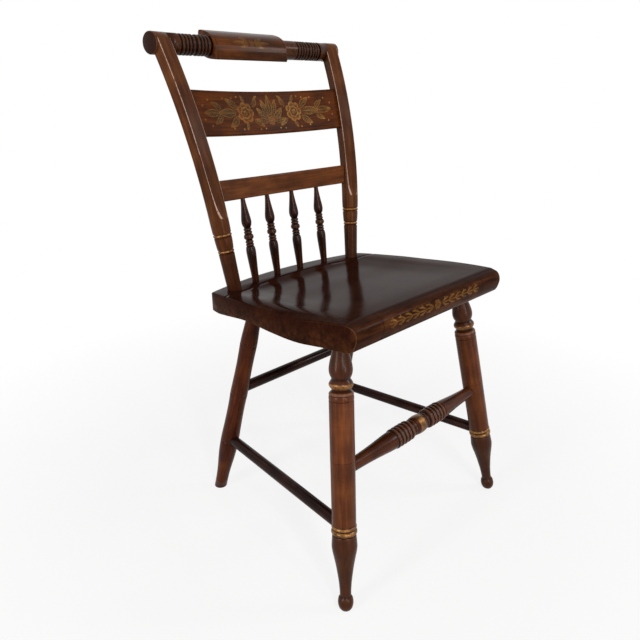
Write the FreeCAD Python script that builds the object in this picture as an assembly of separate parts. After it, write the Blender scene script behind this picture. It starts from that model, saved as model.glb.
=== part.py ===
import FreeCAD, Part
import math
import os

# A plank-seated side chair with turned legs, bent posts, a turned crest with a pillow block,
# one broad slat, a stay rail and four short spindles. Millimetres, +Z up, and the chair faces -Y.
# Places are measured from a point near the middle of the seat, and the whole chair is set over
# the middle of its outline at the end.

V = FreeCAD.Vector

# Driving sizes of the whole chair
ear_top_height = 862
leg_splay_front = 59.6
leg_reach_front = 76.8
leg_splay_rear = 38.5
leg_reach_rear = 96.3

# Seat plank: a rolled front, a dished middle and a bowed rear edge
seat_front = -170.5
seat_depth = 349.5
seat_half_width_front = 192
seat_half_width_rear = 188
seat_side_bulge = 15
seat_rear_bow = 34
seat_low = 409
seat_rise = 67.5
seat_dish = 8
seat_side_dip = 6
seat_to_left = 3
seat_rear_corner = 6
deck_groove_width = 2.6
deck_groove_depth = 1.6
deck_groove_back_share = 0.94564
deck_groove_radius = 570

# Front legs, from the underside of the seat to the floor
front_leg_side_inset = 32.7
front_leg_back_share = 0.18340
front_leg_top = 431
front_leg_thickness = 41.1
front_leg_end_thickness = 22
front_leg_tenon = 25

# Rear legs, plainer and thinner
rear_leg_side_inset = 51.6
rear_leg_back_share = 0.83491
rear_leg_top = 415
rear_leg_thickness = 36
rear_leg_end_thickness = 22
rear_leg_tenon = 21

# Stretchers, each let into the legs as far as the leg's own axis
front_stretcher_share = 0.4705
front_stretcher_thickness = 33.4
front_stretcher_end = 21.0
front_stretcher_ball_share = 0.5067
side_stretcher_front_share = 0.6820
side_stretcher_rear_share = 0.7020
side_stretcher_thickness = 20.4
side_stretcher_end = 20.0
rear_stretcher_share = 0.4192
rear_stretcher_thickness = 21
rear_stretcher_end = 20.6

# Back posts: turned below, bent back and shaved flat above
post_side_inset = 34.2
post_back_share = 0.93991
post_splay = 11.5
post_rake = 16.6
post_turned_height = 117
post_thickness = 33
post_end_thickness = 25.2
post_tenon = 24
post_bend_radius = 900
post_turn_in = 11.5
post_flat_front = 10.15
post_flat_back = 13.5
post_flat_half_width = 13.3
ear_thickness = 34.8
ear_edge = 1.2
ear_overhang = 3.5

# Crest rail: a turned bar with ring groups and a pillow block in the middle
crest_thickness = 33.8
crest_tenon_thickness = 19
crest_tenon = 14
crest_ring_thickness = 33.8
crest_groove_thickness = 29.2
crest_groups = 2
crest_rings = 4
crest_group_width = 30
crest_groove_width = 3.2
crest_ring_start = 98
pillow_half_length = 82.5
pillow_height = 48.6
pillow_depth = 50
pillow_to_left = 15

# Broad slat and narrow stay rail, both bent and let into the posts. Their middles stand at
# shares of the height from the deck to the top of the ears.
slat_middle_share = 0.7056
slat_height = 72.5
slat_thickness = 8
slat_bow = 15
slat_forward = 1.6
rail_middle_share = 0.4026
rail_height = 35.2
rail_thickness = 12
rail_bow = 24
rail_forward = -2
board_let_in = 11
board_edge = 2.4

# Spindles between the seat and the stay rail
spindle_count = 4
spindle_spacing_share = 0.39402
spindle_back_share = 0.94449
spindle_bow = 25.7
spindle_fan = 1.02
spindle_lean = 3
spindle_thickness = 18.4
spindle_end_thickness = 12.6
spindle_neck_thickness = 8.2
spindle_tenon = 16
spindle_neck_tenon = 11

# Every bead rises above its two edges by this share of its width
bead_rise_share = 0.3

# Fits
joint_clearance = 0.15
socket_slack = 0.5
overrun = 40


# Turned work: an outline is rows of (place along the axis, distance out, form). The form tells
# how the outline comes to the row: flat is a straight run, bead a half-round and swell a smooth
# curve that runs on through the rows of the same form.
def scaled_rows(shares, length, thickness, start=0.0):
    rows = []
    for along, out, form in shares:
        rows.append((start + along * length, out * thickness / 2, form))
    return rows


def both_ends(shares, middle_share):
    """A table for half a length, drawn out to the middle and carried on in reverse beyond it."""
    near_half = [(along * 2 * middle_share, out, form) for along, out, form in shares]
    far_half = []
    for index in range(len(shares) - 1, 0, -1):
        along, out, _ = shares[index - 1]
        far_half.append((1 - along * 2 * (1 - middle_share), out, shares[index][2]))
    return near_half + far_half


def smooth_edge(points):
    curve = Part.BSplineCurve()
    curve.interpolate(points)
    return curve.toShape()


def outline_edge(run, form):
    if form == "bead":
        chord = run[1] - run[0]
        outward = V(chord.z, 0, -chord.x)
        top = (run[0] + run[1]) / 2 + outward * bead_rise_share
        return Part.Arc(run[0], top, run[1]).toShape()
    if form == "swell" and len(run) > 2:
        return smooth_edge(run)
    return Part.makeLine(run[0], run[-1])


def turned(rows):
    """A solid turned about +Z from the rows of its outline."""
    points = [V(out, 0, along) for along, out, _ in rows]
    edges = [Part.makeLine(V(0, 0, points[0].z), points[0])]
    first = 0
    for last in range(1, len(rows)):
        form = rows[last][2]
        if form == "swell" and last + 1 < len(rows) and rows[last + 1][2] == "swell":
            continue
        edges.append(outline_edge(points[first:last + 1], form))
        first = last
    edges.append(Part.makeLine(points[-1], V(0, 0, points[-1].z)))
    edges.append(Part.makeLine(V(0, 0, points[-1].z), V(0, 0, points[0].z)))
    return Part.Face(Part.Wire(edges)).revolve(V(0, 0, 0), V(0, 0, 1), 360)


def stood_between(solid, start, end):
    """The solid, made along +Z, moved to run from start towards end."""
    solid.Placement = FreeCAD.Placement(start, FreeCAD.Rotation(V(0, 0, 1), end - start))
    return solid


def socket(mouth, inward, thickness, depth):
    """A round blind hole that runs inward from its mouth, with an overrun outside."""
    way = V(inward).normalize()
    radius = thickness / 2 + joint_clearance
    return Part.makeCylinder(radius, depth + socket_slack + overrun, mouth - way * overrun, way)


def between(start, end, share):
    return start + (end - start) * share


def mirrored(point):
    return V(-point.x, point.y, point.z)


def seat_back(share):
    """Place of a share of the seat's depth, from its front edge."""
    return seat_front + seat_depth * share


# Places of the front and rear legs on the right side, all of them held to the seat
front_leg_seat_point = V(
    seat_half_width_front - front_leg_side_inset, seat_back(front_leg_back_share), front_leg_top)
rear_leg_seat_point = V(
    seat_half_width_rear - rear_leg_side_inset, seat_back(rear_leg_back_share), rear_leg_top)
front_leg_foot_point = front_leg_seat_point + V(leg_splay_front, -leg_reach_front, -front_leg_top)
rear_leg_foot_point = rear_leg_seat_point + V(leg_splay_rear, leg_reach_rear, -rear_leg_top)

front_leg_shares = [
    (0.000, 0.535, "flat"),
    (0.022, 0.565, "swell"), (0.047, 0.655, "swell"), (0.078, 0.820, "swell"),
    (0.103, 0.895, "swell"), (0.120, 0.850, "swell"), (0.133, 0.735, "swell"),
    (0.1365, 0.705, "flat"),
    (0.1560, 0.925, "swell"), (0.1750, 0.705, "swell"),
    (0.1785, 0.705, "flat"), (0.1805, 0.800, "flat"), (0.1840, 0.885, "swell"),
    (0.1885, 0.940, "swell"), (0.1915, 0.925, "swell"),
    (0.1925, 0.905, "flat"), (0.1940, 0.930, "flat"),
    (0.2030, 0.955, "swell"), (0.2110, 0.935, "swell"),
    (0.2120, 0.915, "flat"), (0.2135, 0.945, "flat"),
    (0.4288, 0.950, "flat"), (0.4296, 0.930, "flat"), (0.4304, 0.948, "flat"),
    (0.6650, 0.935, "flat"), (0.6670, 0.880, "flat"), (0.6695, 0.900, "flat"),
    (0.6815, 0.900, "bead"), (0.6835, 0.870, "flat"), (0.6855, 0.900, "flat"),
    (0.7025, 0.900, "bead"), (0.7050, 0.880, "flat"), (0.7070, 0.925, "flat"),
    (0.7200, 0.956, "swell"), (0.7350, 0.980, "swell"), (0.7520, 0.998, "swell"),
    (0.7720, 0.945, "swell"),
    (0.8000, 0.820, "swell"), (0.8320, 0.690, "swell"), (0.8560, 0.615, "swell"),
    (0.8900, 0.515, "swell"), (0.9250, 0.455, "swell"), (0.9390, 0.450, "swell"),
    (0.9450, 0.420, "flat"),
    (0.9560, 0.570, "swell"), (0.9740, 0.612, "swell"), (0.9900, 0.540, "swell"),
    (1.0040, 0.250, "swell"), (1.0060, 0.050, "flat"),
]

rear_leg_shares = [
    (0.000, 0.640, "flat"),
    (0.060, 0.740, "swell"), (0.110, 0.812, "swell"), (0.150, 0.864, "swell"),
    (0.178, 0.888, "swell"),
    (0.1800, 0.855, "flat"), (0.1820, 0.888, "flat"),
    (0.230, 0.866, "swell"), (0.290, 0.850, "swell"), (0.350, 0.872, "swell"),
    (0.400, 0.905, "swell"), (0.438, 0.930, "swell"),
    (0.4400, 0.897, "flat"), (0.4420, 0.930, "flat"),
    (0.500, 0.897, "swell"), (0.560, 0.905, "swell"), (0.630, 0.945, "swell"),
    (0.680, 0.987, "swell"), (0.707, 1.000, "swell"),
    (0.7090, 0.965, "flat"), (0.7110, 1.000, "flat"),
    (0.750, 0.990, "swell"), (0.790, 0.950, "swell"), (0.830, 0.878, "swell"),
    (0.870, 0.790, "swell"), (0.910, 0.726, "swell"), (0.950, 0.692, "swell"),
    (1.030, 0.680, "flat"),
]

front_stretcher_half_shares = [
    (0.0000, 0.629, "flat"),
    (0.0870, 0.650, "swell"), (0.1390, 0.690, "swell"), (0.1910, 0.757, "swell"),
    (0.2480, 0.857, "swell"), (0.2850, 0.925, "swell"), (0.3140, 0.955, "swell"),
    (0.3160, 0.870, "flat"), (0.3185, 0.900, "flat"),
    (0.3400, 0.905, "bead"), (0.3430, 0.910, "flat"), (0.3640, 0.914, "bead"),
    (0.3670, 0.914, "flat"), (0.3880, 0.914, "bead"), (0.3910, 0.914, "flat"),
    (0.4120, 0.908, "bead"), (0.4150, 0.900, "flat"), (0.4360, 0.890, "bead"),
    (0.4380, 0.820, "flat"), (0.4500, 0.838, "flat"),
    (0.4530, 0.850, "flat"), (0.4600, 0.850, "bead"), (0.4620, 0.868, "flat"),
    (0.4750, 0.955, "swell"), (0.5000, 1.000, "swell"),
]

plain_stretcher_half_shares = [
    (0.000, 0.980, "flat"),
    (0.060, 0.985, "swell"), (0.250, 0.995, "swell"), (0.500, 1.000, "swell"),
]

post_turned_shares = [
    (0.000, 0.764, "flat"),
    (0.200, 0.792, "swell"), (0.400, 0.822, "swell"), (0.548, 0.846, "swell"),
    (0.552, 0.745, "flat"), (0.558, 0.760, "flat"),
    (0.606, 0.765, "bead"), (0.612, 0.765, "flat"), (0.617, 0.865, "flat"),
    (0.700, 0.915, "swell"), (0.788, 0.948, "swell"),
    (0.792, 0.865, "flat"), (0.798, 0.878, "flat"),
    (0.846, 0.882, "bead"), (0.852, 0.870, "flat"), (0.858, 0.968, "flat"),
    (0.930, 0.990, "swell"), (1.000, 1.000, "swell"),
]

spindle_shares = [
    (0.000, 0.685, "flat"),
    (0.120, 0.775, "swell"), (0.240, 0.890, "swell"), (0.352, 0.978, "swell"),
    (0.400, 0.930, "swell"), (0.426, 0.820, "swell"),
    (0.430, 0.715, "flat"), (0.434, 0.690, "flat"), (0.462, 0.690, "bead"),
    (0.468, 0.690, "flat"), (0.496, 0.695, "bead"),
    (0.504, 0.650, "flat"), (0.512, 0.700, "flat"),
    (0.525, 0.920, "swell"), (0.544, 0.975, "swell"), (0.563, 0.920, "swell"),
    (0.576, 0.760, "swell"), (0.580, 0.700, "flat"), (0.584, 0.700, "flat"),
    (0.611, 0.705, "bead"), (0.618, 0.680, "flat"), (0.621, 0.680, "flat"),
    (0.649, 0.680, "bead"), (0.654, 0.660, "flat"), (0.662, 0.706, "flat"),
    (0.682, 0.880, "swell"), (0.706, 0.970, "swell"), (0.730, 1.000, "swell"),
    (0.775, 0.930, "swell"), (0.840, 0.760, "swell"), (0.910, 0.590, "swell"),
    (0.965, 0.480, "swell"), (1.000, 0.446, "swell"),
]


# Legs: each is turned from its tenon down, and cut level at the floor
def leg(shares, thickness, end_thickness, tenon, seat_point, foot_point):
    way = (foot_point - seat_point).normalize()
    length = (foot_point - seat_point).Length
    rows = [(0.0, end_thickness / 2, "flat"), (tenon, end_thickness / 2, "flat")]
    rows += scaled_rows(shares, length, thickness, tenon)[1:]
    solid = stood_between(turned(rows), seat_point - way * tenon, foot_point)
    floor = Part.makeBox(
        ear_top_height, ear_top_height, overrun,
        V(foot_point.x - ear_top_height / 2, foot_point.y - ear_top_height / 2, -overrun))
    return solid.cut(floor)


# Stretchers: each is turned, and its ends reach the axes of the two legs that it joins
def stretcher(half_shares, thickness, start, end, middle_share=0.5):
    length = (end - start).Length
    rows = scaled_rows(both_ends(half_shares, middle_share), length, thickness)
    return stood_between(turned(rows), start, end)


def stretcher_socket(axis_point, other_end, thickness):
    return socket(axis_point, axis_point - other_end, thickness, 0)


front_stretcher_point = between(front_leg_seat_point, front_leg_foot_point, front_stretcher_share)
side_stretcher_front_point = between(front_leg_seat_point, front_leg_foot_point, side_stretcher_front_share)
side_stretcher_rear_point = between(rear_leg_seat_point, rear_leg_foot_point, side_stretcher_rear_share)
rear_stretcher_point = between(rear_leg_seat_point, rear_leg_foot_point, rear_stretcher_share)

front_leg = leg(
    front_leg_shares, front_leg_thickness, front_leg_end_thickness, front_leg_tenon,
    front_leg_seat_point, front_leg_foot_point)
front_leg = front_leg.cut([
    stretcher_socket(front_stretcher_point, mirrored(front_stretcher_point), front_stretcher_end),
    stretcher_socket(side_stretcher_front_point, side_stretcher_rear_point, side_stretcher_end),
])

rear_leg = leg(
    rear_leg_shares, rear_leg_thickness, rear_leg_end_thickness, rear_leg_tenon,
    rear_leg_seat_point, rear_leg_foot_point)
rear_leg = rear_leg.cut([
    stretcher_socket(rear_stretcher_point, mirrored(rear_stretcher_point), rear_stretcher_end),
    stretcher_socket(side_stretcher_rear_point, side_stretcher_front_point, side_stretcher_end),
])

front_stretcher = stretcher(
    front_stretcher_half_shares, front_stretcher_thickness,
    mirrored(front_stretcher_point), front_stretcher_point, front_stretcher_ball_share)
side_stretcher = stretcher(
    plain_stretcher_half_shares, side_stretcher_thickness,
    side_stretcher_front_point, side_stretcher_rear_point)
rear_stretcher = stretcher(
    plain_stretcher_half_shares, rear_stretcher_thickness,
    mirrored(rear_stretcher_point), rear_stretcher_point)

# Top edge of the seat from the rear to the roll, as shares of its depth and rise
seat_top_shares = [
    (1.200, 0.360), (1.000, 0.489), (0.945, 0.530), (0.870, 0.572), (0.760, 0.632),
    (0.640, 0.700), (0.500, 0.770), (0.310, 0.882), (0.155, 0.962), (0.060, 1.000),
]


def deck_height(back):
    """Height of the top edge of the seat, from the straight runs of its table."""
    share = (back - seat_front) / seat_depth
    for (far, far_height), (near, near_height) in zip(seat_top_shares, seat_top_shares[1:]):
        if near <= share <= far:
            part = (share - near) / (far - near)
            return seat_low + seat_rise * (near_height + (far_height - near_height) * part)
    return seat_low + seat_rise


# Right post: its own directions at the start of the bend. The bend lies in the plane of the
# post's line and the fore-and-aft direction, and the flats are turned in towards the sitter.
post_side = seat_half_width_rear - post_side_inset
post_back = seat_back(post_back_share)
post_foot = V(post_side, post_back, deck_height(post_back))
post_bend_start = post_foot + V(post_splay, post_rake, post_turned_height)
post_line = (post_bend_start - post_foot).normalize()
post_rear_way = (V(0, 1, 0) - post_line * post_line.y).normalize()
post_side_way = post_rear_way.cross(post_line)
post_bend_centre = post_bend_start + post_rear_way * post_bend_radius
post_bend_axis = post_side_way * -1
upright_part = math.hypot(post_line.z, post_rear_way.z)
turn_in = math.radians(post_turn_in)


def bend_angle(height, behind=0.0):
    """Angle along the bend where a point that lies behind the post's line has the height."""
    drop = post_side_way.z * behind * math.sin(turn_in)
    rise = height - post_bend_centre.z - drop
    reach = post_bend_radius - behind * math.cos(turn_in)
    return math.asin(rise / (reach * upright_part)) + math.atan2(post_rear_way.z, post_line.z)


def post_frame(angle):
    """Point of the post's line, and its upward, frontward and sideways directions."""
    rearward = post_rear_way * math.cos(angle) - post_line * math.sin(angle)
    upward = post_line * math.cos(angle) + post_rear_way * math.sin(angle)
    point = post_bend_centre - rearward * post_bend_radius
    frontward = rearward * -math.cos(turn_in) - post_side_way * math.sin(turn_in)
    sideward = post_side_way * math.cos(turn_in) - rearward * math.sin(turn_in)
    return point, upward, frontward, sideward


def post_point(height):
    return post_frame(bend_angle(height))[0]


ear_behind = ear_thickness / 2 - post_flat_front
ear_height = ear_top_height - ear_thickness / 2
top_angle = bend_angle(ear_height, ear_behind)

# Stations of the planed faces along the bend: share of the bend, then the distances of the
# front face, of the side faces and of the rear face from the post's line, as shares of their
# final distances
run_out_shares = [
    (0.000, 1.700, 1.380, 1.30),
    (0.050, 1.420, 1.310, 1.23),
    (0.112, 1.200, 1.180, 1.13),
    (0.195, 1.075, 1.085, 1.05),
    (0.290, 1.010, 1.030, 1.01),
    (0.400, 1.000, 1.000, 1.00),
]


def planed_section(angle, front_share, side_share, back_share):
    point, _, frontward, sideward = post_frame(angle)
    front = frontward * (post_flat_front * front_share)
    back = frontward * (-post_flat_back * back_share)
    side = sideward * (post_flat_half_width * side_share)
    corners = [point + front - side, point + front + side, point + back + side, point + back - side]
    return Part.makePolygon(corners + corners[:1])


def bent(face, start_angle, end_angle):
    """A face that stands across the post's line at start_angle, carried round the bend."""
    return face.revolve(post_bend_centre, post_bend_axis, math.degrees(end_angle - start_angle))


def right_post():
    shaft_radius = post_thickness / 2
    rows = [(0.0, post_end_thickness / 2, "flat"), (post_tenon, post_end_thickness / 2, "flat")]
    turned_length = (post_bend_start - post_foot).Length
    rows += scaled_rows(post_turned_shares, turned_length, post_thickness, post_tenon)[1:]
    lower = stood_between(turned(rows), post_foot - post_line * post_tenon, post_bend_start)

    run_out_angle = top_angle * run_out_shares[-1][0]
    round_start = Part.Face(Part.Wire(Part.makeCircle(shaft_radius, post_bend_start, post_line)))
    planing = Part.makeLoft(
        [planed_section(top_angle * share, front, side, back)
         for share, front, side, back in run_out_shares],
        True, False)
    run_out = bent(round_start, 0.0, run_out_angle).common(planing)

    point, upward, _, _ = post_frame(run_out_angle)
    round_there = Part.Face(Part.Wire(Part.makeCircle(shaft_radius, point, upward)))
    flat_there = Part.Face(planed_section(run_out_angle, 1, 1, 1))
    shaved_section = round_there.common(flat_there).Faces[0]
    shaved = bent(shaved_section, run_out_angle, top_angle)

    top, _, frontward, sideward = post_frame(top_angle)
    ear_centre = top - frontward * ear_behind
    ear = Part.makeCylinder(
        ear_thickness / 2, 2 * post_flat_half_width + ear_overhang,
        ear_centre - sideward * post_flat_half_width, sideward)
    ear = ear.makeFillet(ear_edge, [edge for edge in ear.Edges if len(edge.Vertexes) == 1])
    return lower.fuse([run_out, shaved, ear]).removeSplitter(), ear_centre, sideward


# Bent boards: a rounded oblong carried along an arc in a plane that leans with the posts
def board_lean(low, high, forward):
    low_point = post_point(low)
    high_point = post_point(high)
    foot = V(0, low_point.y - forward, low)
    upward = V(0, high_point.y - low_point.y, high - low).normalize()
    return foot, upward, upward.cross(V(1, 0, 0)), low_point.x, high_point.x


def rounded_oblong(left, right, low, high, edge):
    """A face in the XY plane with four quarter-round corners."""
    turns = [(right, low, -1, 1), (right, high, -1, -1), (left, high, 1, -1), (left, low, 1, 1)]
    arcs = []
    for index, (x, y, inward_x, inward_y) in enumerate(turns):
        centre = V(x + inward_x * edge, y + inward_y * edge, 0)
        arcs.append(Part.makeCircle(edge, centre, V(0, 0, 1), 90 * (index - 1), 90 * index))
    edges = []
    for arc, next_arc in zip(arcs, arcs[1:] + arcs[:1]):
        edges.append(arc)
        edges.append(Part.makeLine(arc.lastVertex().Point, next_arc.firstVertex().Point))
    return Part.Face(Part.Wire(edges))


def arc_radius(half_span, bow):
    return (half_span ** 2 + bow ** 2) / (2 * bow)


def bent_board(low, high, thickness, bow, forward, growth=0.0):
    """The board, or with growth the space that it takes in the posts."""
    foot, upward, rearward, low_span, high_span = board_lean(low, high, forward)
    radius = arc_radius((low_span + high_span) / 2, bow)
    middle = foot + rearward * bow
    height = (high - low) / upward.z
    half = thickness / 2 + growth
    section = rounded_oblong(-half, half, -growth, height + growth, board_edge + growth)
    turn = FreeCAD.Rotation(rearward, upward, V(1, 0, 0), "ZXY")
    section.Placement = FreeCAD.Placement(middle, turn)
    half_angle = math.degrees(math.asin((high_span + overrun) / radius))
    section.rotate(middle - rearward * radius, upward, -half_angle)
    board = section.revolve(middle - rearward * radius, upward, 2 * half_angle)

    end_in = board_let_in - post_flat_half_width + growth
    widening = overrun * (high_span - low_span) / (high - low)
    low_right = V(low_span + end_in - widening, -ear_top_height, low - overrun)
    high_right = V(high_span + end_in + widening, -ear_top_height, high + overrun)
    corners = [mirrored(low_right), low_right, high_right, mirrored(high_right)]
    between_posts = Part.Face(Part.makePolygon(corners + corners[:1]))
    return board.common(between_posts.extrude(V(0, 2 * ear_top_height, 0)))


back_height = ear_top_height - post_foot.z
slat_low = post_foot.z + slat_middle_share * back_height - slat_height / 2
slat_high = slat_low + slat_height
rail_low = post_foot.z + rail_middle_share * back_height - rail_height / 2
rail_high = rail_low + rail_height

back_slat = bent_board(slat_low, slat_high, slat_thickness, slat_bow, slat_forward)
stay_rail = bent_board(rail_low, rail_high, rail_thickness, rail_bow, rail_forward)
slat_space = bent_board(
    slat_low, slat_high, slat_thickness, slat_bow, slat_forward, joint_clearance)
rail_space = bent_board(
    rail_low, rail_high, rail_thickness, rail_bow, rail_forward, joint_clearance)

post, ear_centre, ear_way = right_post()
post = post.cut([slat_space, rail_space])


# Crest rail: turned along X through the middles of the two ears, with the pillow block in the
# middle. Its ends follow the ears' inner faces, and a round tenon enters each ear.
pillow_front_shares = [
    (-0.412, -0.405), (-0.414, -0.150), (-0.362, 0.080), (-0.230, 0.300), (0.030, 0.455),
    (0.360, 0.545), (0.530, 0.555),
]
pillow_rear_shares = [
    (0.530, 0.555), (0.575, 0.440), (0.560, 0.060), (0.350, -0.280), (0.050, -0.400),
    (-0.372, -0.445),
]


def pillow(axis_point):
    """A block with a flat front that rounds over to the rear, and a hollow underside."""
    def section_points(shares):
        return [V(0, back * pillow_depth, up * pillow_height) for back, up in shares]

    front = section_points(pillow_front_shares)
    rear = section_points(pillow_rear_shares)
    edges = [
        Part.makeLine(front[0], front[1]),
        smooth_edge(front[1:]),
        smooth_edge(rear),
        Part.makeLine(rear[-1], front[0]),
    ]
    block = Part.Face(Part.Wire(edges)).extrude(V(2 * pillow_half_length, 0, 0))
    block.translate(axis_point - V(pillow_half_length + pillow_to_left, 0, 0))
    return block


def beyond(point, way):
    """All of the space on the far side of a plane through the point, as a box."""
    size = ear_top_height
    far_side = Part.makeBox(size, size, size, V(0, -size / 2, -size / 2))
    far_side.Placement = FreeCAD.Placement(point, FreeCAD.Rotation(V(1, 0, 0), way))
    return far_side


def ring_group(start):
    """A groove and its rings, as rows that end where the next groove starts."""
    low = crest_groove_thickness / 2
    width = (crest_group_width - crest_groove_width) / crest_rings
    base = crest_ring_thickness / 2 - bead_rise_share * width
    first = start + crest_groove_width
    rows = [(start, low, "flat"), (first, low, "flat"), (first, base, "flat")]
    for index in range(crest_rings):
        rows.append((first + (index + 1) * width, base, "bead"))
    return rows


def crest_rail():
    axis_point = V(0, ear_centre.y, ear_centre.z)
    half = ear_centre.x
    rows = [(0.0, crest_thickness / 2, "flat"), (crest_ring_start, crest_thickness / 2, "flat")]
    for index in range(crest_groups):
        rows += ring_group(crest_ring_start + index * crest_group_width)
    group_end = crest_ring_start + crest_groups * crest_group_width
    rows.append((group_end, crest_groove_thickness / 2, "flat"))
    rows.append((group_end + crest_groove_width, crest_groove_thickness / 2, "flat"))
    rows.append((group_end + crest_groove_width, crest_thickness / 2, "flat"))
    rows.append((half, crest_thickness / 2, "flat"))
    half_bar = stood_between(turned(rows), axis_point, axis_point + V(1, 0, 0))

    inner_face = ear_centre - ear_way * (post_flat_half_width + joint_clearance)
    half_bar = half_bar.cut(beyond(inner_face, ear_way))
    tenon_length = half - post_flat_half_width + crest_tenon
    tenon = Part.makeCylinder(crest_tenon_thickness / 2, tenon_length, axis_point, V(1, 0, 0))
    half_bar = half_bar.fuse(tenon)
    other_half = half_bar.mirror(axis_point, V(1, 0, 0))
    return half_bar.fuse([other_half, pillow(axis_point)]).removeSplitter()


crest = crest_rail()
crest_bore = Part.makeCylinder(
    crest_tenon_thickness / 2 + joint_clearance,
    ear_centre.x - post_flat_half_width + crest_tenon + socket_slack,
    V(0, ear_centre.y, ear_centre.z), V(1, 0, 0))
post = post.cut(crest_bore)


# Spindles: each foot stands on the deck along a bowed line, and each neck enters the rail
rail_foot, rail_upward, rail_rearward, rail_low_span, rail_high_span = board_lean(
    rail_low, rail_high, rail_forward)
rail_radius = arc_radius((rail_low_span + rail_high_span) / 2, rail_bow)


def rail_underside(across):
    sag = rail_radius - math.sqrt(rail_radius ** 2 - across ** 2)
    return rail_foot + rail_rearward * (rail_bow - sag) + V(across, 0, 0)


def spindle_foot(across):
    back = seat_back(spindle_back_share) + spindle_bow * (1 - (across / post_side) ** 2)
    return V(across, back, deck_height(back))


def spindle(across):
    foot = spindle_foot(across)
    head = rail_underside(across * spindle_fan - spindle_lean)
    way = (head - foot).normalize()
    length = (head - foot).Length
    rows = [(0.0, spindle_end_thickness / 2, "flat"), (spindle_tenon, spindle_end_thickness / 2, "flat")]
    rows += scaled_rows(spindle_shares, length, spindle_thickness, spindle_tenon)[1:]
    rows.append((spindle_tenon + length + spindle_neck_tenon, spindle_neck_thickness / 2, "flat"))
    return stood_between(turned(rows), foot - way * spindle_tenon, head)


spindle_places = [
    (index - (spindle_count - 1) / 2) * spindle_spacing_share * post_side
    for index in range(spindle_count)]
spindles = [spindle(across) for across in spindle_places]
for across in spindle_places:
    head = rail_underside(across * spindle_fan - spindle_lean)
    stay_rail = stay_rail.cut(
        socket(head, head - spindle_foot(across), spindle_neck_thickness, spindle_neck_tenon))

# Seat plank: fore-and-aft sections, dished towards the middle, inside the plan outline
dish_depth_shares = [0.0, 0.0, 0.12, 0.90, 1.00, 0.92, 0.78, 0.50, 0.15, 0.0]
side_dip_depth_shares = [0.0, 0.0, 0.0, 0.0, 0.10, 0.30, 0.80, 1.00, 0.40, 0.0]
seat_roll_shares = [
    (0.060, 1.000), (0.017, 0.935), (0.000, 0.735), (0.018, 0.455), (0.053, 0.365),
]
seat_under_shares = [
    (0.053, 0.365), (0.158, 0.333), (0.315, 0.232), (0.490, 0.222),
    (0.665, 0.222), (0.855, 0.066), (0.935, 0.000), (1.200, 0.000),
]

# Sections from left to right: place as a share of the half width, then the shares of the dish
# and of the dip along the left edge that the section has
seat_station_shares = [
    (-1.15, 0.0, 2.0), (-1.04, 0.0, 0.85), (-0.95, 0.0, 0.15), (-0.78, 0.42, 0.0),
    (-0.58, 0.86, 0.0), (-0.30, 1.0, 0.0), (0.0, 1.0, 0.0), (0.30, 1.0, 0.0),
    (0.58, 0.86, 0.0), (0.78, 0.42, 0.0), (0.93, 0.0, 0.0), (1.15, 0.0, 0.0),
]


def seat_point(across, back_share, height_share, sink=0.0):
    return V(
        across, seat_back(back_share),
        seat_low + seat_rise * height_share - sink)


def seat_section(across, dish_share, dip_share):
    top = []
    for (back, height), dish, dip in zip(seat_top_shares, dish_depth_shares, side_dip_depth_shares):
        sink = seat_dish * dish_share * dish + seat_side_dip * dip_share * dip
        top.append(seat_point(across, back, height, sink))
    roll = [seat_point(across, back, height) for back, height in seat_roll_shares]
    under = [seat_point(across, back, height) for back, height in seat_under_shares]
    return Part.Wire([
        smooth_edge(top), smooth_edge(roll), smooth_edge(under),
        Part.makeLine(under[-1], top[0]),
    ])


def seat_outline():
    """Plan of the seat: bulging sides, a bowed rear edge and small rear corners."""
    rear = seat_front + seat_depth
    front = seat_front - overrun
    middle_half = (seat_half_width_front + seat_half_width_rear) / 2 + seat_side_bulge
    front_right = V(seat_half_width_front, front, 0)
    side_right = V(seat_half_width_front, seat_front, 0)
    rear_right = V(seat_half_width_rear, rear - seat_rear_corner, 0)
    corner_right = V(seat_half_width_rear - seat_rear_corner, rear, 0)
    bulge_right = V(middle_half, seat_front + seat_depth / 2, 0)
    rear_middle = V(0, rear + seat_rear_bow, 0)
    edges = [
        Part.makeLine(mirrored(front_right), front_right),
        Part.makeLine(front_right, side_right),
        Part.Arc(side_right, bulge_right, rear_right).toShape(),
        Part.makeLine(rear_right, corner_right),
        Part.Arc(corner_right, rear_middle, mirrored(corner_right)).toShape(),
        Part.makeLine(mirrored(corner_right), mirrored(rear_right)),
        Part.Arc(mirrored(rear_right), mirrored(bulge_right), mirrored(side_right)).toShape(),
        Part.makeLine(mirrored(side_right), mirrored(front_right)),
    ]
    return Part.Face(Part.Wire(edges)).extrude(V(0, 0, ear_top_height))


def deck_groove():
    """A V that follows an arc across the deck, square to the deck where it crosses the middle."""
    back = seat_back(deck_groove_back_share)
    out = V(0, back, deck_height(back))
    slope = deck_height(back + deck_groove_width) - out.z
    up = V(0, -slope, deck_groove_width).normalize()
    rearward = V(0, up.z, -up.y)
    corners = [
        out - rearward * deck_groove_width + up * deck_groove_depth,
        out - up * deck_groove_depth,
        out + rearward * deck_groove_width + up * deck_groove_depth,
    ]
    face = Part.Face(Part.makePolygon(corners + corners[:1]))
    return face.revolve(out - rearward * deck_groove_radius, up, 360)


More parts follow.
